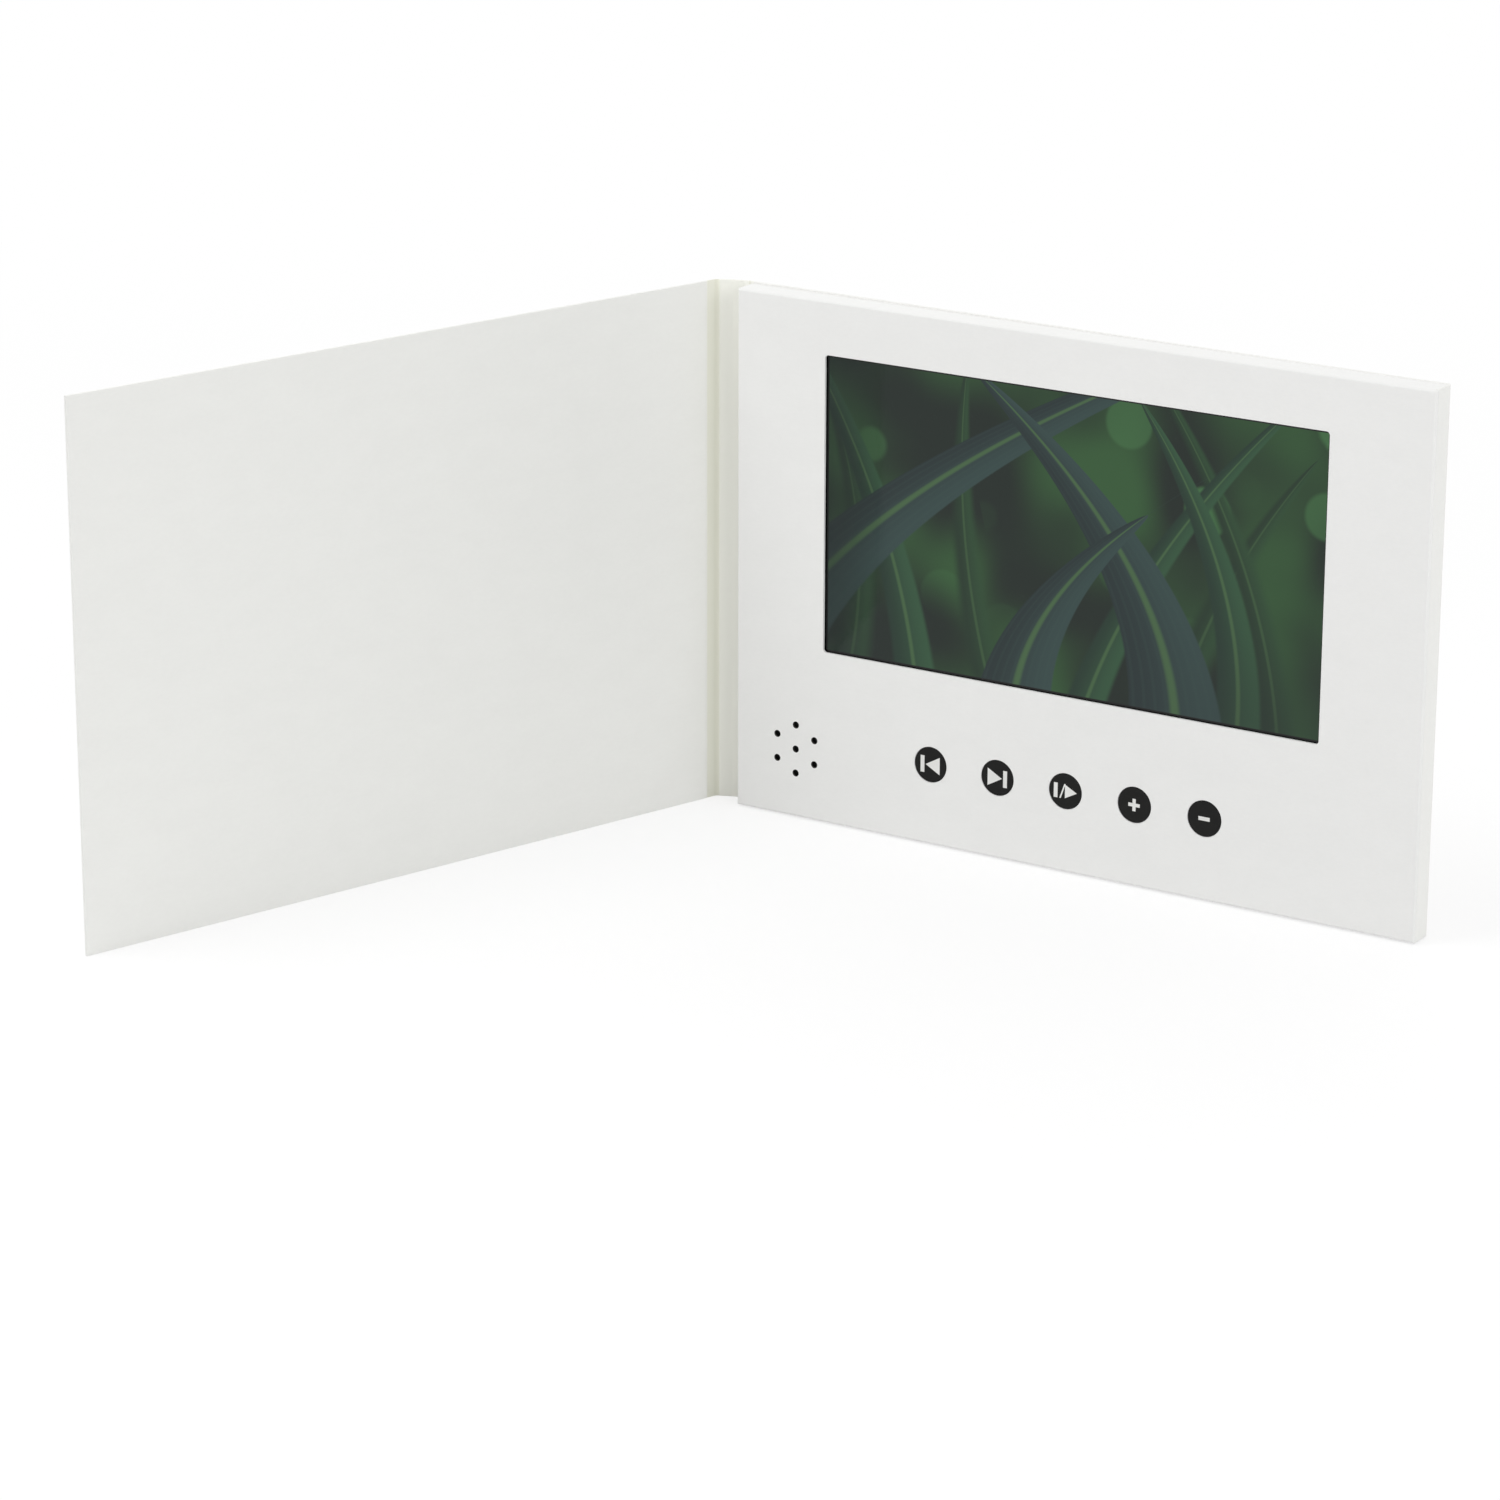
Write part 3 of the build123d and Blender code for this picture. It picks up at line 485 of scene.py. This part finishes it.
def new_piece(name, mesh, body, materials, replaced=()):
    """Puts a finished mesh in the scene, on its body, in the place of its CAD nodes."""
    piece = bpy.data.objects.new(name, mesh)
    bpy.context.scene.collection.objects.link(piece)
    mesh.materials.clear()
    for material in materials:
        mesh.materials.append(material)
    if body:
        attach(piece, body)
    if replaced:
        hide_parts(*replaced)
    return piece


def smooth(mesh, degrees=35.0):
    """Smooth shading between edges sharper than that, but for the plane faces along the axes."""
    mesh.set_sharp_from_angle(angle=math.radians(degrees))
    oblique = [max(map(abs, face.normal)) < 0.9999 for face in mesh.polygons]
    mesh.polygons.foreach_set("use_smooth", oblique)


def store(mesh, name, values):
    """Keeps one value for each vertex, for the materials to read."""
    layer = mesh.attributes.new(name, "FLOAT", "POINT")
    layer.data.foreach_set("value", values)


def turned(angle):
    return Vector((math.cos(angle), math.sin(angle)))


def ramp(value, low, high):
    """0 below low, 1 above high, smooth between; low may be the larger."""
    share = min(1.0, max(0.0, (value - low) / (high - low)))
    return share * share * (3 - 2 * share)


class Upright:
    """One upright line of the card: its place, the way in, and what shows there. Lengths in mm."""

    def __init__(self, spot, inward, pressed, score=0.0, fold=0.0):
        self.spot = spot            # on the outer skin
        self.inward = inward
        self.pressed = pressed      # how far the inner skin is pressed in
        self.dent = OUTER_PRESS * fold ** 2     # how far the outer skin is
        self.score = score          # 1 in a pressed strip
        self.fold = fold            # 1 in the middle of a crease
        self.lift = OVERHANG        # how far the card stands over the module


def flat_run(start, end, trims, inward, reaches, score):
    """Uprights on a flat panel, close together in the pressed strips beside its creases."""
    length = (end - start).length
    heading = (end - start) / length
    low, high = trims[0], length - trims[1]
    count = max(2, round((high - low) / RUN_STEP))
    places = {low + (high - low) * i / count for i in range(count + 1)}
    for origin, way, reach in ((low, 1, reaches[0]), (high, -1, reaches[1])):
        steps = math.ceil((reach + PRESS_SLOPE) / PRESS_STEP) if reach else 0
        places.update(min(high, max(low, origin + way * i * PRESS_STEP)) for i in range(steps + 1))
    kept = []
    for at in sorted(places):
        if not kept or at - kept[-1] > PRESS_STEP / 3:
            kept.append(at)
    kept[-1] = high
    uprights = []
    for at in kept:
        ends = ((at, reaches[0]), (length - at, reaches[1]))
        share = max(ramp(away, reach, reach - PRESS_SLOPE) if reach else 0.0
                    for away, reach in ends)
        spot = start + heading * at
        uprights.append(Upright(spot, inward, PRESS_DEPTH * share, max(score, share)))
    return uprights


def bend(corner, before, after, side, radius, creased):
    """Uprights round a fold whose inner side is on the left (side 1) or the right (side -1)."""
    turn = math.atan2(before.cross(after) * side, before.dot(after))
    reach = radius * math.tan(turn / 2)
    inward = Vector((-before.y, before.x)) * side
    centre = corner - before * reach + inward * radius
    uprights = []
    for i in range(1, BEND_STEPS):
        way = Matrix.Rotation(turn * i / BEND_STEPS * side, 2) @ inward
        fold = math.sin(math.pi * i / BEND_STEPS)
        spot = centre - way * radius
        if creased:
            uprights.append(Upright(spot, way, PRESS_DEPTH * (1 + fold / 2), 1.0, fold))
        else:
            uprights.append(Upright(spot, way, 0.0))
    return uprights, reach


def card_line(corners, radii, side, reaches, scores):
    """Uprights along a folded card over its corners, with each panel's pressed strips and score."""
    headings = [(b - a).normalized() for a, b in zip(corners, corners[1:])]
    bends = [([], 0.0)]
    for i, radius in enumerate(radii):
        creased = reaches[i][1] > 0
        turn = (headings[i], headings[i + 1])
        bends.append(bend(corners[i + 1], *turn, side, radius, creased))
    bends.append(([], 0.0))
    uprights = []
    for i, heading in enumerate(headings):
        inward = Vector((-heading.y, heading.x)) * side
        trims = (bends[i][1], bends[i + 1][1])
        uprights += flat_run(corners[i], corners[i + 1], trims, inward, reaches[i], scores[i])
        uprights += bends[i + 1][0]
    return uprights


def edge_profile():
    """Depth through the card and setback of each line across its cut edge, in mm."""
    half = [
        (0.0, SHEET_SETBACK + 0.04),
        (0.03, SHEET_SETBACK + 0.01),
        (SHEET - 0.02, SHEET_SETBACK),
        (SHEET + 0.01, 0.005),
        (0.3, 0.0),
    ]
    return half + [(CARD - depth, setback) for depth, setback in reversed(half)]


def card_mesh(name, uprights):
    """A card of real thickness along its uprights, with its three plies at head and foot."""
    rows = CARD_ROWS
    profile = edge_profile()
    across = len(profile) - 1
    # The points round each upright: share of the depth, share of the height, setback of the edge
    ring = [(0, j / rows, profile[0][1]) for j in range(rows + 1)]
    ring += [(depth / CARD, 1, setback) for depth, setback in profile[1:-1]]
    ring += [(1, 1 - j / rows, profile[0][1]) for j in range(rows + 1)]
    ring += [(depth / CARD, 0, setback) for depth, setback in reversed(profile[1:-1])]
    size = len(ring)
    vertices, ply, score, fold = [], [], [], []
    for upright in uprights:
        foot, head = -upright.lift, FACE_SIZE.z + upright.lift
        for share, up, setback in ring:
            depth = upright.dent + (CARD - upright.pressed - upright.dent) * share
            spot = upright.spot + upright.inward * depth
            z = foot + setback + (head - foot - 2 * setback) * up
            vertices.append((spot.x * MM, spot.y * MM, ORIGIN.z + z * MM))
            ply.append(share)
            score.append(upright.score if share > 0.5 else 0.0)
            fold.append(upright.fold)
    faces, kinds = [], []
    for i in range(len(uprights) - 1):
        for k in range(size):
            a, b = i * size + k, i * size + (k + 1) % size
            faces.append((a, b, b + size, a + size))
            kinds.append(0 if k < rows or 0 <= k - rows - across < rows else 1)
    # Closed ends: one face for each row, and one over the plies at head and foot
    inner = 2 * rows + across
    loops = [(j, inner - j, inner - 1 - j, j + 1) for j in range(rows)]
    loops.append(tuple(range(rows + across, rows - 1, -1)))
    loops.append((0, *range(size - 1, inner - 1, -1)))
    for i in (0, len(uprights) - 1):
        for loop in loops:
            faces.append(tuple(i * size + k for k in loop))
            kinds.append(1)
    mesh = bpy.data.meshes.new(name)
    mesh.from_pydata(vertices, [], faces)
    mesh.polygons.foreach_set("material_index", kinds)
    store(mesh, "ply", ply)
    store(mesh, "score", score)
    store(mesh, "fold", fold)
    bm = bmesh.new()
    bm.from_mesh(mesh)
    bmesh.ops.recalc_face_normals(bm, faces=bm.faces)
    bm.to_mesh(mesh)
    bm.free()
    smooth(mesh, 40.0)
    return mesh


def make_cover():
    """The card, in two pieces that meet in the middle of the spine, with rounded folds at the creases."""
    back = Vector(JOINTS["back_crease"]["pos_m"][:2]) / MM
    front = Vector(JOINTS["front_crease"]["pos_m"][:2]) / MM
    back_turn = math.radians(-JOINTS["back_crease"]["range_deg"][0])
    front_turn = math.radians(-JOINTS["front_crease"]["range_deg"][0])
    along_spine = turned(math.pi + back_turn)
    along_front = turned(math.pi + back_turn + front_turn)
    middle = (back + front) / 2
    half_spine = (front - middle).length
    fore_edge = Vector((ORIGIN.x / MM + FACE_SIZE.x, back.y))
    wall_end = Vector((fore_edge.x, ORIGIN.y / MM + FACE_CARD))
    front_half = card_line(
        [middle, front, front + along_front * FRONT_WIDTH], [CREASE_RADIUS], 1,
        ((0, SPINE_PRESS), (FRONT_PRESS, 0)), (SPINE_SCORE, 0.0))
    back_half = card_line(
        [middle, back, fore_edge, wall_end], [CREASE_RADIUS, FORE_EDGE_RADIUS], -1,
        ((0, SPINE_PRESS), (SPINE_PRESS, 0), (0, 0)), (SPINE_SCORE, 0.0, 0.0))
    for upright in front_half + back_half:
        share = min(1.0, abs((upright.spot - middle).dot(along_spine)) / half_spine)
        swell = (1 + math.cos(math.pi * share)) / 2
        upright.spot = upright.spot - upright.inward * SPINE_BULGE * swell
    for upright in back_half:
        upright.score = min(upright.score, SPINE_SCORE)
        share = ramp(upright.spot.x, back.x, fore_edge.x)
        upright.lift = OVERHANG + (FORE_OVERHANG - OVERHANG) * share

    def at(crease, way, reach):
        spot = crease + way * reach
        return (spot.x * MM, spot.y * MM, ORIGIN.z)

    skins = [looks["cover_sheet"], looks["card_core"]]
    mesh = card_mesh("cover_front", front_half)
    piece = new_piece("cover_front", mesh, None, skins,
                      ("front_outer_sheet", "front_board", "front_liner"))
    front_end, spine_end = FRONT_CREASE_ENDS
    at(front, along_front, front_end)
    at(front, -along_spine, spine_end)
    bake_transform(piece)
    mesh = card_mesh("cover_back", back_half)
    piece = new_piece("cover_back", mesh, None, skins,
                      ("spine_outer_sheet", "spine_board", "spine_liner",
                       "back_outer_sheet", "back_board", "back_liner"))
    spine_end, back_end = BACK_CREASE_ENDS
    at(back, along_spine, spine_end)
    at(back, Vector((1, 0)), back_end)
    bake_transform(piece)


def prism(outline, low, high, axis):
    """A closed prism over an outline in the plane across one axis, from low to high, in mm."""
    bm = bmesh.new()

    def point(a, b, c):
        return {"y": (a, c, b), "z": (a, b, c)}[axis]

    ends = [[bm.verts.new(place(*point(a, b, c))) for a, b in outline] for c in (low, high)]
    bm.faces.new(ends[0])
    bm.faces.new(reversed(ends[1]))
    count = len(outline)
    for i in range(count):
        j = (i + 1) % count
        bm.faces.new((ends[0][j], ends[0][i], ends[1][i], ends[1][j]))
    bmesh.ops.recalc_face_normals(bm, faces=bm.faces)
    mesh = bpy.data.meshes.new("prism")
    bm.to_mesh(mesh)
    bm.free()
    return mesh


def bar(x0, x1, z0, z1):
    """Outline of a rectangle."""
    return [(x0, z0), (x1, z0), (x1, z1), (x0, z1)]


def circle(x, z, radius, count=64):
    """Outline of a circle, from its +X point round."""
    turns = [2 * math.pi * i / count for i in range(count)]
    return [(x + radius * math.cos(turn), z + radius * math.sin(turn)) for turn in turns]


def rounded(x0, x1, z0, z1, radii, count=8):
    """Outline of a rectangle with its own radius at each corner, from the low corner round."""
    corners = ((x0, z0, 180), (x1, z0, 270), (x1, z1, 0), (x0, z1, 90))
    points = []
    for (x, z, start), radius in zip(corners, radii):
        if radius <= 0:
            points.append((x, z))
            continue
        cx = x + radius if x == x0 else x - radius
        cz = z + radius if z == z0 else z - radius
        for i in range(count + 1):
            angle = math.radians(start + 90 * i / count)
            points.append((cx + radius * math.cos(angle), cz + radius * math.sin(angle)))
    return points


def carve(base, cutters):
    """The base mesh with every cutter taken away, as a new mesh."""
    work = bpy.data.objects.new("work", base)
    bpy.context.scene.collection.objects.link(work)
    helpers = []
    for mesh in cutters:
        helper = bpy.data.objects.new("helper", mesh)
        bpy.context.scene.collection.objects.link(helper)
        helpers.append(helper)
        cut = work.modifiers.new("cut", "BOOLEAN")
        cut.object = helper
        cut.operation = "DIFFERENCE"
        cut.solver = "EXACT"
    result = applied(work)
    for helper in helpers:
        bpy.data.objects.remove(helper)
    return result


def applied(work):
    """The object's mesh with its modifiers applied; the object is removed."""
    graph = bpy.context.evaluated_depsgraph_get()
    result = bpy.data.meshes.new_from_object(work.evaluated_get(graph))
    bpy.data.objects.remove(work)
    return result


def eased(mesh, width, segments=2, degrees=40.0):
    """Small rounding on every sharp edge, in mm."""
    work = bpy.data.objects.new("work", mesh)
    bpy.context.scene.collection.objects.link(work)
    bevel = work.modifiers.new("bevel", "BEVEL")
    bevel.width = width * MM
    bevel.segments = segments
    bevel.limit_method = "ANGLE"
    bevel.angle_limit = math.radians(degrees)
    bevel.use_clamp_overlap = True
    bevel.harden_normals = False
    return applied(work)


def make_face():
    """Face panel with its folded walls and cut holes: one skin, rounded where the card folds."""
    width, depth, height = FACE_SIZE
    face = rounded_slab((0, width), (0, depth), (0, height), FACE_FOLD_RADIUS)
    wall, inner, reach = FACE_CARD, width - CARD, 2 * depth
    cutters = [
        prism(bar(wall, inner, wall, height - wall), wall, reach, "y"),
        prism(bar(inner, width + PAST, wall, reach), -PAST, height + PAST, "z"),
        prism(rounded(*WINDOW, [WINDOW_RADIUS] * 4), -PAST, 2 * wall, "y"),
        prism(rounded(*PORT_CUT, [PORT_RADIUS, PORT_RADIUS, 0, 0]), -PAST, 2 * wall, "z"),
    ]
    rounds = [(x, KEY_HEIGHT, KEY_RADIUS + KEY_GAP, 96) for x in KEYS.values()]
    rounds.append((*SPEAKER, SPEAKER_HOLE, 40))
    for i in range(6):
        turn = math.radians(90 + 60 * i)
        x = SPEAKER[0] + SPEAKER_CIRCLE * math.cos(turn)
        z = SPEAKER[1] + SPEAKER_CIRCLE * math.sin(turn)
        rounds.append((x, z, SPEAKER_HOLE, 40))
    cutters += [prism(circle(*values), -PAST, 2 * wall, "y") for values in rounds]
    mesh = eased(carve(face, cutters), FACE_EDGE)
    smooth(mesh, 30.0)
    skins = [looks["face_card"], looks["cut_wall"]]
    new_piece("face_skin", mesh, "module", skins, ("face_panel",))
    # Near-black walls deep in the speaker holes: painted shade on the card's cut walls
    centre = place(SPEAKER[0], 0, SPEAKER[1])
    for polygon in mesh.polygons:
        away = polygon.center - centre
        near = Vector((away.x, away.z)).length < (SPEAKER_CIRCLE + 2) * MM
        deep = polygon.center.y > ORIGIN.y + HOLE_WALL * MM
        if near and deep and abs(polygon.normal.y) < 0.5:
            polygon.material_index = 1


def rounded_slab(x, y, z, radius, segments=6):
    """A box whose four edges round the front face are rounded."""
    bm = bmesh.new()
    low, high = place(x[0], y[0], z[0]), place(x[1], y[1], z[1])
    spots = [(a, b, c) for a in (low.x, high.x) for b in (low.y, high.y) for c in (low.z, high.z)]
    corners = [bm.verts.new(spot) for spot in spots]
    for loop in ((0, 1, 3, 2), (4, 6, 7, 5), (0, 4, 5, 1),
                 (2, 3, 7, 6), (0, 2, 6, 4), (1, 5, 7, 3)):
        bm.faces.new([corners[i] for i in loop])
    bmesh.ops.recalc_face_normals(bm, faces=bm.faces)
    front = [edge for edge in bm.edges if all(v.co.y < low.y + 1e-6 for v in edge.verts)]
    bmesh.ops.bevel(bm, geom=front, offset=radius * MM, segments=segments, profile=0.5,
                    affect="EDGES")
    mesh = bpy.data.meshes.new("slab")
    bm.to_mesh(mesh)
    bm.free()
    return mesh


def make_screen():
    """Glass plate with the lit picture mapped over the window's area."""
    low, high = ((corner - ORIGIN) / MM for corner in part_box("display_glass"))
    mesh = eased(prism(bar(low.x, high.x, low.z, high.z), low.y, high.y, "y"), 0.1)
    layer = mesh.uv_layers.new(name="picture")
    for loop in mesh.loops:
        point = (mesh.vertices[loop.vertex_index].co - ORIGIN) / MM
        across = (point.x - WINDOW[0]) / (WINDOW[1] - WINDOW[0])
        up = (point.z - WINDOW[2]) / (WINDOW[3] - WINDOW[2])
        layer.data[loop.index].uv = (across, up)
    smooth(mesh)
    new_piece("screen", mesh, "module", [looks["screen_glass"]], ("display_glass",))


def lathe(name, profile, x, z, count=96):
    """A closed body turned about a Y axis through (x, z), from (radius, depth) points, in mm."""
    bm = bmesh.new()
    rings = []
    for radius, depth in profile:
        if radius < 1e-6:
            rings.append([bm.verts.new(place(x, depth, z))])
        else:
            outline = circle(x, z, radius, count)
            rings.append([bm.verts.new(place(px, depth, pz)) for px, pz in outline])
    for one, other in zip(rings, rings[1:]):
        for i in range(count):
            j = (i + 1) % count
            loop = [one[i % len(one)], one[j % len(one)],
                    other[j % len(other)], other[i % len(other)]]
            unique = list(dict.fromkeys(loop))
            if len(unique) > 2:
                bm.faces.new(unique)
    bmesh.ops.recalc_face_normals(bm, faces=bm.faces)
    mesh = bpy.data.meshes.new(name)
    bm.to_mesh(mesh)
    bm.free()
    return mesh


def arrow(x, z, width, height, way):
    """Triangle pointing along way (1 or -1) in X, from its base at x."""
    return [(x, z - height / 2), (x, z + height / 2), (x + way * width, z)]


# Each key's sign: outlines round the key's middle, in mm
SIGNS = {
    "previous": [bar(-3.1, -1.85, -2.4, 2.4), arrow(3.0, 0, 4.5, 5.0, -1)],
    "next": [bar(1.85, 3.1, -2.4, 2.4), arrow(-3.0, 0, 4.5, 5.0, 1)],
    "play": [
        bar(-3.5, -2.3, -2.1, 2.1),
        [(-1.75, -2.1), (-1.3, -2.1), (0.15, 2.1), (-0.3, 2.1)],
        arrow(-0.05, 0, 3.7, 3.9, 1),
    ],
    "plus": [bar(-1.75, 1.75, -0.5, 0.5), bar(-0.5, 0.5, 0.5, 1.75), bar(-0.5, 0.5, -1.75, -0.5)],
    "minus": [bar(-1.7, 1.7, -0.55, 0.55)],
}


def joined(name, meshes):
    """One mesh with all of those in it."""
    bm = bmesh.new()
    for mesh in meshes:
        bm.from_mesh(mesh)
    result = bpy.data.meshes.new(name)
    bm.to_mesh(result)
    bm.free()
    return result


def make_keys():
    """Round caps with domed rims, each with the plate behind it and its printed sign."""
    turns = [math.radians(15 * i) for i in range(7)]
    rim = [(KEY_RADIUS - KEY_EDGE + KEY_EDGE * math.sin(turn),
            KEY_FRONT + KEY_EDGE - KEY_EDGE * math.cos(turn)) for turn in turns]
    foot = KEY_BACK - KEY_PLATE + KEY_OVERLAP
    profile = [(0.0, KEY_FRONT), (KEY_RADIUS * 0.5, KEY_FRONT), (KEY_RADIUS * 0.9, KEY_FRONT),
               *rim, (KEY_RADIUS, foot), (0.0, foot)]
    half = KEY_RADIUS + KEY_FLANGE
    for name, x in KEYS.items():
        cap = lathe("key", profile, x, KEY_HEIGHT)
        square = rounded(x - half, x + half, KEY_HEIGHT - half, KEY_HEIGHT + half,
                         [PLATE_RADIUS] * 4)
        plate = prism(square, KEY_BACK - KEY_PLATE, KEY_BACK, "y")
        mesh = joined(f"cap_{name}", [cap, plate])
        smooth(mesh, 50.0)
        new_piece(f"cap_{name}", mesh, f"button_{name}", [looks["key_plastic"]],
                  (f"key_{name}",))
        outlines = [[(x + a, KEY_HEIGHT + b) for a, b in shape] for shape in SIGNS[name]]
        shapes = [prism(outline, KEY_FRONT - SIGN_PROUD, KEY_FRONT + SIGN_SUNK, "y")
                  for outline in outlines]
        mesh = eased(joined(f"sign_{name}", shapes), 0.06, 2, 60.0)
        smooth(mesh, 50.0)
        new_piece(f"sign_{name}", mesh, f"button_{name}", [looks["sign_paint"]])


for part in frame["record"]["subparts"]:
    node = frame["nodes"][part["node"]]
    node.data.materials.clear()
    node.data.materials.append(looks[part["material_slot"]])

make_cover()
make_face()
make_screen()
make_keys()


# ------------------------------------------------------------------ stage

FILL = 0.715               # strength of the plain light from all round
LAMPS = (                  # name, place and size in metres, and watts
    ("key", (1.66, -0.52, 0.87), (1.2, 1.0), 7.6),
    ("top", (-0.38, -0.36, 0.96), (0.5, 0.5), 3.1),
    ("back", (-0.40, 1.50, 1.10), (1.2, 1.2), 3.5),
)
LAMP_TARGET = Vector((0, 0, 0.07))
FLOOR_TONE = (0.84, 0.84, 0.84)
FLOOR_GLOW = 0.7           # share of plain white in the floor that the camera sees near the object
GLOW_RUN = (0.3, 0.9)      # metres out over which it grows to all of it
CAMERA_PLACE = (0.69623, -1.08685, 0.46898)
CAMERA_DEGREES = (32.768, 17.84, 0.147)     # to the right of the face's normal, up from level, roll
CAMERA_LENS = 126.62


def look_along(way):
    """The turn that points a lamp or camera along way."""
    return way.to_track_quat("-Z", "Y")


def soft_box(name, spot, size, watts):
    """A rectangular lamp at spot, turned to the object, that no reflection shows."""
    data = bpy.data.lights.new(name, "AREA")
    data.shape = "RECTANGLE"
    data.size, data.size_y = size
    data.energy = watts
    lamp = bpy.data.objects.new(name, data)
    lamp.location = spot
    lamp.rotation_euler = look_along(LAMP_TARGET - Vector(spot)).to_euler()
    lamp.visible_glossy = False
    bpy.context.scene.collection.objects.link(lamp)


def make_world():
    """White for what the camera, gloss and glass see, and a plain fill light for the rest."""
    world = bpy.data.worlds.new("studio")
    world.use_nodes = True
    bpy.context.scene.world = world
    tree = world.node_tree
    tree.nodes.clear()
    path = tree.nodes.new("ShaderNodeLightPath")
    seen = path.outputs["Is Camera Ray"]
    for ray in ("Is Glossy Ray", "Is Transmission Ray"):
        either = tree.nodes.new("ShaderNodeMath")
        either.operation = "MAXIMUM"
        tree.links.new(seen, either.inputs[0])
        tree.links.new(path.outputs[ray], either.inputs[1])
        seen = either.outputs[0]
    mix = tree.nodes.new("ShaderNodeMixShader")
    tree.links.new(seen, mix.inputs[0])
    for strength, socket in zip((FILL, 1.0), mix.inputs[1:]):
        shade = tree.nodes.new("ShaderNodeBackground")
        shade.inputs["Color"].default_value = (1, 1, 1, 1)
        shade.inputs["Strength"].default_value = strength
        tree.links.new(shade.outputs[0], socket)
    out = tree.nodes.new("ShaderNodeOutputWorld")
    tree.links.new(mix.outputs[0], out.inputs["Surface"])


def make_floor():
    """Pale floor that keeps a light shadow near the object and runs out into white."""
    bm = bmesh.new()
    bmesh.ops.create_grid(bm, x_segments=2, y_segments=2, size=6.0)
    mesh = bpy.data.meshes.new("floor")
    bm.to_mesh(mesh)
    bm.free()
    floor = bpy.data.objects.new("floor", mesh)
    bpy.context.scene.collection.objects.link(floor)
    shader = Shader("floor", FLOOR_TONE, 0.9)
    glow = shader.add("ShaderNodeEmission")
    glow.inputs["Strength"].default_value = 1.0
    path = shader.add("ShaderNodeLightPath")
    seen, gloss, through = (Sum(shader, path.outputs[f"Is {ray} Ray"])
                            for ray in ("Camera", "Glossy", "Transmission"))
    shader.color(shader.mix(seen, FLOOR_TONE, (1.0, 1.0, 1.0)))
    away = shader.add("ShaderNodeVectorMath", operation="LENGTH")
    shader.put(away.inputs[0], shader.position())
    far = Sum(shader, away.outputs["Value"]).step(*GLOW_RUN)
    share = (seen * (far * (1.0 - FLOOR_GLOW) + FLOOR_GLOW)).most(gloss.most(through))
    mix = shader.add("ShaderNodeMixShader")
    shader.put(mix.inputs[0], share)
    shader.put(mix.inputs[1], shader.bsdf.outputs[0])
    shader.put(mix.inputs[2], glow.outputs[0])
    shader.put(shader.tree.nodes["Material Output"].inputs["Surface"], mix.outputs[0])
    mesh.materials.append(shader.material)


def make_camera():
    azimuth, elevation, roll = map(math.radians, CAMERA_DEGREES)
    data = bpy.data.cameras.new("camera")
    data.sensor_width = 36.0
    data.lens = CAMERA_LENS
    data.clip_start, data.clip_end = 0.05, 50.0
    camera = bpy.data.objects.new("camera", data)
    level = math.cos(elevation)
    ahead = Vector((-math.sin(azimuth) * level, math.cos(azimuth) * level, -math.sin(elevation)))
    turn = look_along(ahead).to_matrix().to_4x4() @ Matrix.Rotation(roll, 4, "Z")
    camera.matrix_world = Matrix.Translation(CAMERA_PLACE) @ turn
    bpy.context.scene.collection.objects.link(camera)
    bpy.context.scene.camera = camera


make_world()
for lamp in LAMPS:
    soft_box(*lamp)
make_floor()
make_camera()
bpy.context.scene.view_settings.view_transform = "Standard"
